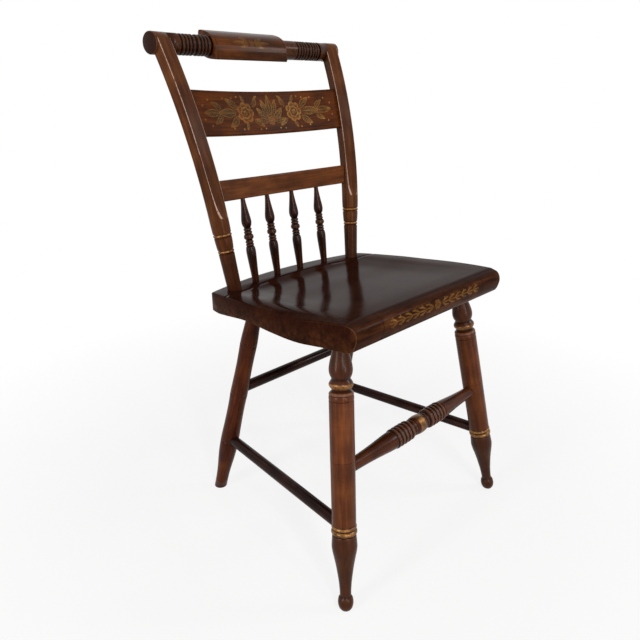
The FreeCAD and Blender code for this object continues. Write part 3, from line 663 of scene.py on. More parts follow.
# The left edge is worn down; depth of the dip along the edge, then across it
seat_dip_table = [
    (0.060, 0.0), (0.155, 0.40), (0.310, 1.00), (0.500, 0.80), (0.640, 0.30), (0.760, 0.10),
    (0.870, 0.0), (1.200, 0.0),
]
seat_dip_across_table = [(0.78, 0.0), (0.95, 0.15), (1.04, 0.85), (1.15, 2.0)]
seat_roll_table = [
    (0.060, 1.000), (0.017, 0.935), (0.000, 0.735), (0.018, 0.455), (0.053, 0.365),
]
seat_under_table = [
    (0.053, 0.365), (0.158, 0.333), (0.315, 0.232), (0.490, 0.222),
    (0.665, 0.222), (0.855, 0.066), (0.935, 0.000), (1.200, 0.000),
]


def read_smooth(table, at):
    """A value from a smooth curve through the pairs of a table."""
    if at <= table[0][0]:
        return table[0][1]
    if at >= table[-1][0]:
        return table[-1][1]
    last = len(table) - 1
    index = 0
    while table[index + 1][0] < at:
        index += 1

    def slope(row):
        before = table[max(row - 1, 0)]
        after = table[min(row + 1, last)]
        return (after[1] - before[1]) / (after[0] - before[0])

    width = table[index + 1][0] - table[index][0]
    t = (at - table[index][0]) / width
    return (
        table[index][1] * (1 + 2 * t) * (1 - t) ** 2 + slope(index) * width * t * (1 - t) ** 2
        + table[index + 1][1] * t ** 2 * (3 - 2 * t) - slope(index + 1) * width * t ** 2 * (1 - t))


def deck_height(across, back):
    """Height of the seat's top, with the sitter's hollow and the worn left edge."""
    share = (back - seat_front) / seat_depth
    dish = seat_dish * read_smooth(seat_dish_table, share)
    dish *= read_smooth(seat_across_table, abs(across) / seat_half_front)
    dip = seat_dip * read_smooth(seat_dip_table, share)
    dip *= read_smooth(seat_dip_across_table, -across / seat_half_front)
    return seat_low + seat_rise * read_smooth(seat_top_table, share) - dish - dip


def half_width(back):
    """Half the seat's width, from the arc of its bulging side."""
    share = (back - seat_front) / seat_depth
    straight = seat_half_front + (seat_half_rear - seat_half_front) * share
    return straight + seat_bulge * (1 - (2 * share - 1) ** 2)


def rear_edge(across):
    """How far back the bowed rear edge lies."""
    bow_half = seat_half_rear - seat_rear_corner
    return seat_front + seat_depth + seat_bow * (1 - (across / bow_half) ** 2)


def groove_back(across):
    """How far back the groove's arc lies."""
    return groove_middle - groove_radius + math.sqrt(groove_radius ** 2 - across ** 2)


def seat_loop(side_share):
    """One fore-and-aft section of the plank, at a share of its half width."""
    rear = seat_front + seat_depth
    # The rear edge and the width at it depend on each other, so they are worked out by turns
    for _ in range(4):
        rear = rear_edge(side_share * half_width(rear))
    groove = groove_back(side_share * half_width(groove_middle) - seat_to_left)
    roll_start = seat_front + seat_depth * seat_top_table[0][0]
    behind = groove + groove_clear - rear + seat_edge
    before = groove - groove_clear
    backs = [rear - seat_edge]
    for step in range(1, deck_rear_steps + 1):
        backs.append(rear - seat_edge + behind * step / deck_rear_steps)
    backs += [groove + groove_half_width, groove + groove_half_width / 2, groove,
              groove - groove_half_width / 2, groove - groove_half_width]
    for step in range(1, deck_steps + 1):
        backs.append(before + (roll_start - before) * step / deck_steps)
    loop = []
    for back in backs:
        across = side_share * half_width(back)
        cut = groove_depth * max(0, 1 - abs(back - groove) / groove_half_width)
        loop.append(Vector((back, deck_height(across, back) - cut)))
    roll = [Vector((seat_front + seat_depth * back, seat_low + seat_rise * up))
            for back, up in seat_roll_table]
    roll_points = smooth_run(roll, roll_steps)
    loop += roll_points[1:]
    under_end = rear - seat_edge
    under_start = roll_points[-1].x
    for step in range(1, under_steps + 1):
        back = under_start + (under_end - under_start) * step / under_steps
        share = (back - seat_front) / seat_depth
        loop.append(Vector((back, seat_low + seat_rise * read_smooth(seat_under_table, share))))
    top_rear = deck_height(side_share * half_width(rear), rear)
    low_rear = loop[-1].y
    inset = edge_middle_share * seat_edge
    loop.append(Vector((rear - inset, low_rear + inset)))
    loop.append(Vector((rear, low_rear + seat_edge)))
    loop.append(Vector((rear, (low_rear + top_rear) / 2)))
    loop.append(Vector((rear, top_rear - seat_edge)))
    loop.append(Vector((rear - inset, top_rear - inset)))
    return loop


lofted_merge = 0.000002
lofted_smooth_angle = 35


def shrunk(loop, distance):
    """The loop with every point moved inwards, square to its neighbours."""
    moved = []
    for index, point in enumerate(loop):
        along = loop[(index + 1) % len(loop)] - loop[index - 1]
        moved.append(point + Vector((-along.y, along.x)).normalized() * distance)
    return moved


def lofted(name, sections, along_grain=None, marks=()):
    """A closed piece through sections of as many points each, in metres. It starts as one grid
    sheet that is wrapped round the sections, and its two ends are filled. A mark is a name and
    a function of the section's and the point's number that gives the finish's value there."""
    count = len(sections[0])
    rows = len(sections)
    nothing_selected()
    bpy.ops.mesh.primitive_grid_add(
        x_subdivisions=count, y_subdivisions=rows - 1, size=2, location=(0, 0, 0))
    piece = bpy.context.object
    piece.name = name
    mesh = piece.data
    grain, relief = marked(mesh)
    spots = []
    for index, vertex in enumerate(mesh.vertices):
        step = round((vertex.co.x + 1) / 2 * count) % count
        row = round((vertex.co.y + 1) / 2 * (rows - 1))
        spots.append((row, step))
        vertex.co = sections[row][step]
        grain.data[index].vector = along_grain[row][step] if along_grain else vertex.co
        relief.data[index].value = 0
    for mark, value_at in marks:
        if mark not in mesh.attributes:
            mesh.attributes.new(mark, "FLOAT", "POINT")
        values = mesh.attributes[mark].data
        for index, (row, step) in enumerate(spots):
            values[index].value = value_at(row, step)
    bpy.ops.object.mode_set(mode="EDIT")
    bpy.ops.mesh.select_all(action="SELECT")
    bpy.ops.mesh.remove_doubles(threshold=lofted_merge)
    bpy.ops.mesh.select_all(action="DESELECT")
    bpy.ops.mesh.select_non_manifold(
        extend=False, use_wire=False, use_boundary=True, use_multi_face=False,
        use_non_contiguous=False, use_verts=False)
    bpy.ops.mesh.fill_holes(sides=0)
    bpy.ops.mesh.quads_convert_to_tris(quad_method="BEAUTY", ngon_method="BEAUTY")
    bpy.ops.mesh.select_all(action="SELECT")
    bpy.ops.mesh.normals_make_consistent(inside=False)
    bpy.ops.object.mode_set(mode="OBJECT")
    picked(piece)
    bpy.ops.object.shade_smooth_by_angle(angle=math.radians(lofted_smooth_angle))
    return piece


def seat_places():
    """Shares of the half width at which the plank has a section, close together on the roll."""
    shares = [step * section_spacing / seat_half_front
              for step in range(-close_sections, close_sections + 1)]
    outer = [-wide_outer_share + index * (wide_outer_share - wide_inner_share) / wide_sections
             for index in range(wide_sections)]
    return outer + shares + [-share for share in reversed(outer)]


def seat_end(side):
    """The three sections that round over one end of the plank, from the inner one outwards."""
    sections = []
    middle_inset = edge_middle_share * seat_edge
    for inset, side_inset in ((0, seat_edge), (middle_inset, middle_inset), (seat_edge, 0)):
        loop = shrunk(seat_loop(side), inset)
        sections.append([
            place((side * (half_width(point.x) - side_inset) - seat_to_left, point.x, point.y))
            for point in loop])
    return sections


# Width over which a stencilled line fades, how far inside its motif's edge it runs, what it may
# reach past that edge, and the spacing of a leaf's veins with their slope towards its tip
line_fade = 0.9
leaf_line_inset = 0.5
petal_line_inset = 0.4
line_reach = 0.8
vein_spacing = 4.2
vein_slope = 1.1


def leaf(across, up, foot, turn, length, width, bend=0):
    """Bronze and dark colour at a place, for a pointed leaf with an outline and veins."""
    way = math.radians(turn)
    along = (across - foot[0]) * math.cos(way) + (up - foot[1]) * math.sin(way)
    off = (up - foot[1]) * math.cos(way) - (across - foot[0]) * math.sin(way)
    share = along / length
    if not 0.01 < share < 0.99:
        return 0, 0
    off -= bend * 4 * share * (1 - share)
    half = width / 2 * math.sin(math.pi * share ** 0.8) ** 0.85
    if abs(off) > half + 0.6:
        return 0, 0
    from_edge = half - abs(off)
    outline = max(0, 1 - abs(from_edge - leaf_line_inset) / line_fade)
    midrib = max(0, 1 - abs(off) / 0.65) * (share < 0.86)
    vein = 0.5 + 0.5 * math.cos(
        2 * math.pi * (along - abs(off) * vein_slope) / vein_spacing)
    veins = max(0, vein - 0.62) * 1.6 * min(1, from_edge / 1.5)
    tip = max(0, (share - 0.45) / 0.55) * 0.7
    inside = min(1, max(0, from_edge) / 1.5)
    return max(0.9 * outline, 0.85 * midrib, 1.2 * veins, tip), 0.8 * inside


def rosette(across, up, centre, radius, petals):
    """Bronze and dark colour at a place, for a flower of two rings of petals about a seeded eye."""
    aside, above = across - centre[0], up - centre[1]
    reach = math.hypot(aside, above)
    if reach > radius + line_reach:
        return 0, 0
    angle = math.atan2(above, aside)
    gilt = 0
    dark = 0
    for size, shift, fill in ((1.0, 0.0, 0.75), (0.62, 0.5, 0.9)):
        swing = abs(math.cos((angle + shift * 2 * math.pi / petals) * petals / 2))
        edge = radius * size * (0.72 + 0.28 * swing ** 0.5)
        if reach <= edge + line_reach:
            outline = max(0, 1 - abs(edge - reach - petal_line_inset) / line_fade)
            inside = max(0, min(1, (edge - reach) / 1.2))
            deep = max(0, min(1, (reach / edge - 0.45) / 0.5))
            gilt = max(0.85 * outline, inside * fill * deep ** 1.5)
            dark = 0.7 * inside * (1 - deep)
    eye = radius * 0.24
    if reach < eye:
        seed = math.cos(across * 3.1) * math.cos(up * 3.1)
        gilt, dark = (0.9, 0) if seed > 0.15 or reach > eye - 0.7 else (0.1, 0.8)
    return gilt, dark


def dot(across, up, centre, radius):
    """Bronze and dark colour at a place, for a round dot with a soft edge."""
    reach = math.hypot(across - centre[0], up - centre[1])
    return max(0, min(1, (radius + 0.4 - reach) / line_reach)) * 0.85, 0


def motif_value(across, up, motifs):
    """The strongest bronze and dark values of the motifs whose frames hold the place. A motif
    lies over those before it, so its dark ground hides their bronze."""
    gilt = 0
    dark = 0
    for draw, low, high, settings in motifs:
        if low[0] < across < high[0] and low[1] < up < high[1]:
            here_gilt, here_dark = draw(across, up, *settings)
            if here_dark > 0.3:
                gilt = min(gilt, here_gilt)
            gilt = max(gilt, here_gilt)
            dark = max(dark, here_dark)
    return gilt, dark


def framed(draw, reach, settings):
    """A motif with the frame outside which it isn't looked up."""
    middle = settings[0]
    low = (middle[0] - reach, middle[1] - reach)
    return draw, low, (middle[0] + reach, middle[1] + reach), settings


def stencil_marks(sections, points, flat_place, motifs, gilt_share, gilt_gain, dark_share):
    """Marks for a stencil on the numbered points of the sections. flat_place gives a point's
    place in the drawing; the shares say how thick bronze and dark lie, and what the bronze
    gains towards the last section."""
    drawn = {}
    for row, section in enumerate(sections):
        for step in points:
            across, up = flat_place(section[step])
            drawn[row, step] = motif_value(across, up, motifs)

    def gilt(row, step):
        thick = gilt_share + gilt_gain * row / len(sections)
        return thick * drawn.get((row, step), (0, 0))[0]

    def leaf_dark(row, step):
        return dark_share * drawn.get((row, step), (0, 0))[1]

    return [("gilt", gilt), ("leaf_dark", leaf_dark)]


def mirrored_leaves(rows):
    """Leaves on the right and their mirror images on the left, from rows of a foot, a turn in
    degrees, a length, a width and a bend."""
    motifs = []
    for foot, turn, length, width, bend in rows:
        motifs.append(framed(leaf, length + 2, (foot, turn, length, width, bend)))
        motifs.append(framed(
            leaf, length + 2, ((-foot[0], foot[1]), 180 - turn, length, width, -bend)))
    return motifs


# Scrolled leaves in pairs run out along the roll from a small flower at its middle, with a stem
# between each pair and a dot above and below it
roll_middle = 461.5
roll_art_stretch = 1.05
roll_pairs = 6
roll_pair_spacing = 18
roll_first_pair = 12
roll_first_dot = 21
roll_art = [framed(rosette, 9, ((0, 0), 8, 6))]
roll_leaf_rows = []
for order in range(roll_pairs):
    start = roll_first_pair + order * roll_pair_spacing
    reach = 19 - order * 0.6
    roll_leaf_rows += [
        ((start, 0), 19, reach, 2.6, 1.6), ((start, 0), -19, reach, 2.6, -1.6),
        ((start + 3, 0), 0, 15, 1.6, 0),
    ]
roll_art += mirrored_leaves(roll_leaf_rows)
for order in range(roll_pairs):
    for side in (-1, 1):
        aside = side * (roll_first_dot + order * roll_pair_spacing)
        roll_art += [framed(dot, 3, ((aside, above), 0.8)) for above in (7.4, -7.4)]

seat_sections = list(reversed(seat_end(-1)))
for share in seat_places():
    loop = seat_loop(share)
    seat_sections.append([
        place((share * half_width(point.x) - seat_to_left, point.x, point.y)) for point in loop])
seat_sections += seat_end(1)
roll_end = deck_points + (len(seat_roll_table) - 1) * roll_steps


# Points at the deck's front where the scribed lines and the painted highlights on the ends begin,
# and where the full coat ends; what the full coat covers there, and how much of it is lost from
# point to point
scribed_from = deck_points - 3
edge_highlight_from = deck_points - 12
full_coat_to = deck_points - 2
seat_cover = 0.8
seat_cover_fade = 0.05


def seat_relief(row, step):
    """Dark varnish lies in the scribed lines near the ends of the roll, the groove is darker, and
    the rounded edges of the roll's two ends carry a pale painted highlight."""
    across = abs(seat_sections[row][step].x * 1000 + seat_to_left)
    if scribed_from <= step <= roll_end and abs(across - scribe_side) < scribe_half_width:
        return -1
    if deck_rear_steps < step <= deck_rear_steps + groove_points:
        return -0.9 if step == deck_rear_steps + (groove_points + 1) // 2 else -0.3
    if edge_highlight_from <= step <= roll_end and row in (1, len(seat_sections) - 2):
        return 0.9
    return 0


def seat_top_coat(row, step):
    """The nearly black coat covers the seat's top and fades out over the roll."""
    return max(0, seat_cover - max(0, step - full_coat_to) * seat_cover_fade)


def roll_place(point):
    """A point's place in the drawing for the roll, from its middle."""
    return point.x * 1000 + seat_to_left, (point.z * 1000 - roll_middle) * roll_art_stretch


seat_marks = [("relief", seat_relief), ("dark_coat_and_shade", seat_top_coat)] + stencil_marks(
    seat_sections, range(deck_points, roll_end), roll_place, roll_art, 0.8, 0, 0.3)
seat = lofted("seat_plank_top", seat_sections, None, seat_marks)

# Its pale colour is the painted highlight on the roll's rounded ends
seat_paint = grained_paint(
    "glossy dark brown paint on pine",
    ("#2c160c", "#402213", "#502d18", "#613a1f"),
    "#8a6040", "#0f0605", "object", (1 / 0.06, 1 / 0.009, 1 / 0.009), (10, 1 / 0.002, 10),
    0.15, 1.06, "#280f09", stencil=True, positions=(0.30, 0.48, 0.60, 0.78))
dressed(seat, ["seat_plank"], [seat_paint])


# Back posts. Ash or hickory, turned below with two gilded rings, steamed and bent back above, and
# shaved flat in front and at the sides with run-out tongues. A round ear ends each at the top.
ear_top = 862
ear_thickness = 34.8
ear_overhang = 3.5
post_side = 153.8
post_back = 158
post_splay = 11.5
post_rake = 16.6
post_turned_height = 117
post_thickness = 33
post_tenon = (24, 25.2)
post_bend_radius = 900
post_turn_in = math.radians(11.5)
post_flat_front = 10.15
post_flat_back = 13.5
post_flat_side = 13.3
bend_steps = 96
# A face this far out lies clear of the round section and leaves it whole
unshaved = 99

post_table = [
    (0.000, 0.764, "flat"),
    (0.200, 0.792, "swell"), (0.400, 0.822, "swell"), (0.548, 0.846, "swell"),
    (0.552, 0.745, "flat"), (0.558, 0.760, "flat"),
    (0.606, 0.765, "bead"), (0.612, 0.765, "flat"), (0.617, 0.865, "flat"),
    (0.700, 0.915, "swell"), (0.788, 0.948, "swell"),
    (0.792, 0.865, "flat"), (0.798, 0.878, "flat"),
    (0.846, 0.882, "bead"), (0.852, 0.870, "flat"), (0.858, 0.968, "flat"),
    (0.930, 0.990, "swell"), (1.000, 1.000, "swell"),
]
# Share of the bend, then the distances of the front, side and rear faces as shares
run_out_table = [
    (0.000, 1.700, 1.380, 1.30), (0.050, 1.420, 1.310, 1.22), (0.112, 1.200, 1.180, 1.12),
    (0.195, 1.075, 1.085, 1.04), (0.290, 1.010, 1.030, 1.01), (0.400, 1.000, 1.000, 1.00),
]

deck_at_post = seat_low + seat_rise * read_smooth(
    seat_top_table, (post_back - seat_front) / seat_depth)
post_foot = Vector((post_side, post_back, deck_at_post))
post_bend_start = post_foot + Vector((post_splay, post_rake, post_turned_height))
post_line = (post_bend_start - post_foot).normalized()
post_rear_way = (Vector((0, 1, 0)) - post_line * post_line.y).normalized()
post_side_way = post_rear_way.cross(post_line)
post_bend_centre = post_bend_start + post_rear_way * post_bend_radius


def bend_angle(height, behind=0):
    """Angle along the bend at which a point behind the post's line has the height."""
    drop = post_side_way.z * behind * math.sin(post_turn_in)
    rise = height - post_bend_centre.z - drop
    reach = post_bend_radius - behind * math.cos(post_turn_in)
    upright = math.hypot(post_line.z, post_rear_way.z)
    return math.asin(rise / (reach * upright)) + math.atan2(post_rear_way.z, post_line.z)


def post_frame(angle):
    """Point of the post's line there, and its upward, frontward and sideward directions."""
    rearward = post_rear_way * math.cos(angle) - post_line * math.sin(angle)
    upward = post_line * math.cos(angle) + post_rear_way * math.sin(angle)
    point = post_bend_centre - rearward * post_bend_radius
    frontward = rearward * -math.cos(post_turn_in) - post_side_way * math.sin(post_turn_in)
    sideward = post_side_way * math.cos(post_turn_in) - rearward * math.sin(post_turn_in)
    return point, upward, frontward, sideward


def shaved_loop(radius, front, side, back):
    """A round section shaved flat in front, at the sides and behind, as (frontward, sideward)."""
    front_turn = math.acos(min(1, front / radius))
    side_turn = math.asin(min(1, side / radius))
    if front_turn > side_turn:
        front_turn = side_turn = math.atan2(side, front)
    back_turn = math.acos(min(1, back / radius))
    side_end = math.asin(min(1, side / radius))
    if back_turn > side_end:
        back_turn = side_end = math.atan2(side, back)
    turns = []
    for start, end, shares in (
            (0, front_turn, (0, 0.5, 0.8, 0.93)),
            (front_turn, side_turn, [step / 8 for step in range(8)]),
            (side_turn, math.pi - side_end, (0, 0.06, 0.2, 0.5, 0.8, 0.94)),
            (math.pi - side_end, math.pi - back_turn, [step / 8 for step in range(8)]),
            (math.pi - back_turn, math.pi, (0, 0.5, 0.8))):
        turns += [start + (end - start) * share for share in shares]
    turns += [2 * math.pi - turn for turn in [math.pi] + turns[:0:-1]]
    loop = []
    for turn in turns:
        reach = radius
        if math.cos(turn) > 0:
            reach = min(reach, front / math.cos(turn))
        if math.cos(turn) < 0:
            reach = min(reach, -back / math.cos(turn))
        if abs(math.sin(turn)) > 0.001:
            reach = min(reach, side / abs(math.sin(turn)))
        loop.append(Vector((math.cos(turn) * reach, math.sin(turn) * reach)))
    return loop


ear_behind = ear_thickness / 2 - post_flat_front
ear_height = ear_top - ear_thickness / 2
top_angle = bend_angle(ear_height, ear_behind)


def post_sections():
    """Sections up the right post, with the places of their points along its grain."""
    turned_length = (post_bend_start - post_foot).length
    rows = table_rows(post_table, turned_length, post_thickness, post_tenon)
    _, _, frontward, sideward = post_frame(0)
    sections = []
    grain = []

    def take(centre, loop, along):
        ring = [centre + frontward * point.x + sideward * point.y for point in loop]
        sections.append([place(point) for point in ring])
        grain.append([Vector((point.x, point.y, along)) / 1000 for point in loop])

    for along, out in lathe_outline(rows)[1:-1]:
        take(post_foot + post_line * (along - post_tenon[0]),
             shaved_loop(out, unshaved, unshaved, unshaved), along)
    full = post_thickness / 2
    straight = turned_length + post_tenon[0]
    for step in range(1, bend_steps + 1):
        share = step / bend_steps
        centre, _, frontward, sideward = post_frame(top_angle * share)
        front, side, back = [
            read_smooth([(row[0], row[column]) for row in run_out_table], share)
            for column in (1, 2, 3)]
        loop = shaved_loop(
            full, post_flat_front * front, post_flat_side * side, post_flat_back * back)
        take(centre, loop, straight + post_bend_radius * top_angle * share)
    return sections, grain


# Gilded lengths as shares of the turned part; the painted shade by the seat, and how fast it fades
# upwards
post_rings = ((0.580, 0.606), (0.820, 0.846))
post_shade_depth = 0.75
post_shade_fade = 1.6
# Points from the front's middle to its arris, which carries a painted highlight that is wider above
# the tongue's sections
arris_first = 4
arris_last_on_tongue = 5
arris_last = 12
tongue_sections = 36
right_sections, right_grain = post_sections()
post_count = len(right_sections[0])
turned_sections = len(right_sections) - bend_steps


def arris_highlight(row, step):
    """The edges of the flat in front carry a pale painted highlight, also round its tongue below.
    """
    shaved = row - turned_sections
    across = min(step, post_count - step)
    last = arris_last_on_tongue if shaved < tongue_sections else arris_last
    return 1 if shaved > 1 and arris_first <= across <= last else 0


def post_shade(row, step):
    """Painted shade darkens the post down by the seat."""
    return post_shade_depth * max(0, 1 - row / turned_sections * post_shade_fade)


left_sections = [
    [Vector((-point.x, point.y, point.z)) for point in ring] for ring in right_sections]
top_point, _, top_frontward, top_sideward = post_frame(top_angle)
ear_centre = top_point - top_frontward * ear_behind

# Its palest colour is the painted highlight on the front's arrises, and its colour laid over the
# painted shade by the seat
post_paint = grained_paint(
    "varnished brown paint on shaved ash",
    ("#43220f", "#502b14", "#5d341a", "#6b4022"),
    "#eccab8", "#1a0a06", "along_grain", (1 / 0.008, 1 / 0.008, 1 / 0.1),
    (1 / 0.0018, 1 / 0.0018, 5), 0.24, 1.15, "#26100b")
ear_paint = grained_paint(
    "varnished brown paint on the ears",
    ("#3c1e0e", "#482612", "#542e17", "#60391e"),
    "#68401f", "#220e08", "along_grain", (1 / 0.006, 1 / 0.006, 1 / 0.03),
    (6, 6, 1 / 0.0018), 0.26)
ear_half = post_flat_side
ear_length = 2 * ear_half + ear_overhang
ear_radius = ear_thickness / 2
ear_edge = 1.4
ear_edge_middle = 0.4
ear_rows = [
    (0, ear_radius - ear_edge, "flat"),
    (ear_edge_middle, ear_radius - ear_edge_middle, "flat"),
    (ear_edge, ear_radius, "flat"), (ear_length - ear_edge, ear_radius, "flat"),
    (ear_length - ear_edge_middle, ear_radius - ear_edge_middle, "flat"),
    (ear_length, ear_radius - ear_edge, "flat"),
]
for side, sections in (("right", right_sections), ("left", left_sections)):
    post = lofted("back_post_" + side + "_shaft", sections, right_grain, [
        ("relief", arris_highlight), ("dark_coat_and_shade", post_shade)])
    foot = place(post_foot if side == "right" else on_left(post_foot))
    bend = place(post_bend_start if side == "right" else on_left(post_bend_start))
    run = bend - foot
    for face in post.data.polygons:
        share = (face.center - foot).dot(run) / run.length_squared
        if any(low < share < high for low, high in post_rings):
            face.material_index = 1
    dressed(post, ["back_post_" + side], [post_paint, gold_rings])
    ear = turned("back_post_" + side + "_ear", ear_rows)
    inner = ear_centre - top_sideward * ear_half
    outer = ear_centre + top_sideward * ear_half
    if side == "left":
        inner, outer = Vector(on_left(inner)), Vector(on_left(outer))
    stood(ear, place(inner), place(outer))
    dressed(ear, [], [ear_paint])


# Crest rail. A maple bar turned with two groups of four rings between grooves on each side, and a
# pillow block near the middle, flat in front and rounded over to the rear. It is driven into the
# ears. The block has a light bronze stencil, and the bar is painted darker.
crest_thickness = 33.8
crest_ring_thickness = 33.8
crest_groove_thickness = 29.2
crest_ring_start = 98
crest_group_width = 30
crest_groove_width = 3.2
pillow_half_length = 82.5
pillow_to_left = 15
pillow_height = 48.6
pillow_depth = 50
pillow_steps = 150
pillow_curve_steps = 6
pillow_front_points = range(2, 26)
# The block's rounded ends: the inset along it and the inset of the section there
pillow_edge = 1.4
pillow_end_table = ((0, 1.4), (0.42, 0.42), (1.4, 0))
# Where the bar is cut off inside the post's inner face
crest_let_in = 0.3

pillow_front_table = [
    (-0.412, -0.405), (-0.414, -0.150), (-0.362, 0.080), (-0.230, 0.300), (0.030, 0.455),
    (0.360, 0.545), (0.530, 0.555),
]
pillow_rear_table = [
    (0.530, 0.555), (0.575, 0.440), (0.560, 0.060), (0.350, -0.280), (0.050, -0.400),
    (-0.372, -0.445),
]


def crest_half_rows():
    """Rows from the middle of the bar out to the ear, all of them plain runs and beads."""
    rows = [(0, crest_thickness / 2, "flat"), (crest_ring_start, crest_thickness / 2, "flat")]
    low = crest_groove_thickness / 2
    width = (crest_group_width - crest_groove_width) / 4
    base = crest_ring_thickness / 2 - 0.3 * width
    for group in range(2):
        start = crest_ring_start + group * crest_group_width
        first = start + crest_groove_width
        rows += [(start, low, "flat"), (first, low, "flat"), (first, base, "flat")]
        rows += [(first + (ring + 1) * width, base, "bead") for ring in range(4)]
    end = crest_ring_start + 2 * crest_group_width
    rows += [(end, low, "flat"), (end + crest_groove_width, low, "flat"),
             (end + crest_groove_width, crest_thickness / 2, "flat")]
    return rows


half_rows = crest_half_rows()
bar_half = ear_centre.x
bar_rows = [(0, crest_thickness / 2, "flat")]
for index in range(len(half_rows) - 1, 0, -1):
    along, out, _ = half_rows[index]
    form = half_rows[index + 1][2] if index + 1 < len(half_rows) else "flat"
    bar_rows.append((bar_half - along, out, form))
bar_rows += [(bar_half + along, out, form) for along, out, form in half_rows[1:]]
bar_rows.append((2 * bar_half, crest_thickness / 2, "flat"))
crest_bar = turned("crest_rail_bar", bar_rows)
stood(crest_bar, place(on_left(ear_centre)), place(ear_centre))
picked(crest_bar)
for sign in (1, -1):
    bpy.ops.object.mode_set(mode="EDIT")
    bpy.ops.mesh.select_all(action="SELECT")
    face_point = ear_centre - top_sideward * (ear_half - crest_let_in)
    away = Vector((top_sideward.x * sign, top_sideward.y, top_sideward.z))
    cut_point = place((face_point.x * sign, face_point.y, face_point.z))
    bpy.ops.mesh.bisect(plane_co=cut_point, plane_no=away, clear_outer=True, use_fill=True)
    bpy.ops.object.mode_set(mode="OBJECT")
crest_paint = grained_paint(
    "varnished brown paint on the turned crest",
    ("#1c0c06", "#29130a", "#381b0d", "#4a2713"),
    "#5f3822", "#0c0403", "along_grain", (1 / 0.005, 1 / 0.005, 1 / 0.06), gouge_rings, 0.22)
dressed(crest_bar, ["crest_rail"], [crest_paint])


def pillow_loop():
    """The block's section as (back, up), from its lower front edge over the top to the rear."""
    front = [Vector((back * pillow_depth, up * pillow_height)) for back, up in pillow_front_table]
    rear = [Vector((back * pillow_depth, up * pillow_height)) for back, up in pillow_rear_table]
    loop = [front[0], front[0].lerp(front[1], 0.5)]
    loop += smooth_run(front[1:], pillow_curve_steps)
    loop += smooth_run(rear, pillow_curve_steps)[1:]
    return loop


def pillow_section(across, inset):
    """The block's section at a place along the rail, drawn in by the inset."""
    return [
        place((across - pillow_to_left, ear_centre.y + point.x, ear_centre.z + point.y))
        for point in shrunk(pillow_loop(), -inset)]


pillow_straight = 2 * pillow_half_length - 2 * pillow_edge
pillow_sections = [
    pillow_section(-pillow_half_length + along, inset) for along, inset in pillow_end_table]
pillow_sections += [
    pillow_section(
        -pillow_half_length + pillow_edge + pillow_straight * step / pillow_steps, 0)
    for step in range(1, pillow_steps)]
pillow_sections += [
    pillow_section(pillow_half_length - along, inset)
    for along, inset in reversed(pillow_end_table)]

# A pair of leaves and a flower are lightly bronzed on the front of the block
pillow_art_rise_share = 0.16
pillow_art_stretch = 1.1
pillow_scribe_inset = 5.5
pillow_art = [framed(rosette, 7, ((0, 0), 5.5, 5))]
pillow_art += mirrored_leaves([
    ((7, 0), 24, 20, 6, 1.5), ((7, 0), -24, 20, 6, -1.5), ((10, 0), 0, 30, 5, 0)])


def pillow_place(point):
    """A point's place in the drawing for the block, from its middle."""
    up = point.z * 1000 - ear_centre.z - pillow_art_rise_share * pillow_height
    return point.x * 1000 + pillow_to_left, up * pillow_art_stretch


def pillow_relief(row, step):
    """Dark varnish lies in a scribed line near each end of the block."""
    across = abs(pillow_sections[row][step].x * 1000 + pillow_to_left)
    return -1 if abs(across - pillow_half_length + pillow_scribe_inset) < scribe_half_width else 0


pillow_marks = [("relief", pillow_relief)] + stencil_marks(
    pillow_sections, pillow_front_points, pillow_place, pillow_art, 0.45, 0, 0.3)
pillow = lofted("crest_rail_pillow", pillow_sections, None, pillow_marks)
pillow_paint = grained_paint(
    "varnished brown paint on the pillow block",
    ("#391b08", "#49240a", "#582c0d", "#683812"),
    "#8e6640", "#1a0a05", "object", (1 / 0.07, 1 / 0.009, 1 / 0.008), (8, 8, 1 / 0.002),
    0.27, stencil=True)
dressed(pillow, [], [pillow_paint])


# Back slat and stay rail. Two steamed and bent boards, let into mortises in the posts. The broad
# slat has the stencil in bronze powder between two fine dark lines, under satin varnish.
slat_share = 0.7056
slat_height = 72.5
slat_thickness = 8
slat_bow = 15
slat_forward = 1.6
rail_share = 0.4026
rail_height = 35.2
rail_thickness = 12
rail_bow = 24
rail_forward = -2
board_let_in = 11
board_edge = 2.4
slat_front_steps = 90
slat_along_steps = 440
rail_front_steps = 12
rail_along_steps = 80


def post_place(height):
    """The place on the post's line at a height."""
    return post_frame(bend_angle(height))[0]


def board_lean(low, high, forward):
    """Foot of a board in the middle of the back, its upward and rearward directions, and the
    distances out to the posts at its two edges."""
    low_point = post_place(low)
    high_point = post_place(high)
    foot = Vector((0, low_point.y - forward, low))
    upward = Vector((0, high_point.y - low_point.y, high - low)).normalized()
    return foot, upward, upward.cross(Vector((1, 0, 0))), low_point.x, high_point.x


def arc_radius(half_span, bow):
    return (half_span ** 2 + bow ** 2) / (2 * bow)


def board_loop(height, thickness, front_steps):
    """A board's section as (back, up), with its four edges rounded over."""
    half = thickness / 2

    def corner(side, on_top, turns):
        points = []
        for turn in turns:
            inset = board_edge * (1 - math.cos(math.radians(turn)))
            rise = board_edge * math.sin(math.radians(turn))
            up = height - board_edge + rise if on_top else board_edge - rise
            points.append((side * (half - inset), up))
        return points

    face = height - 2 * board_edge
    loop = [(-half, board_edge + face * step / front_steps) for step in range(front_steps + 1)]
    loop += corner(-1, True, (30, 60, 90)) + corner(1, True, (90, 60, 30, 0))
    loop.append((half, height / 2))
    return loop + corner(1, False, (0, 30, 60, 90)) + corner(-1, False, (90, 60, 30))


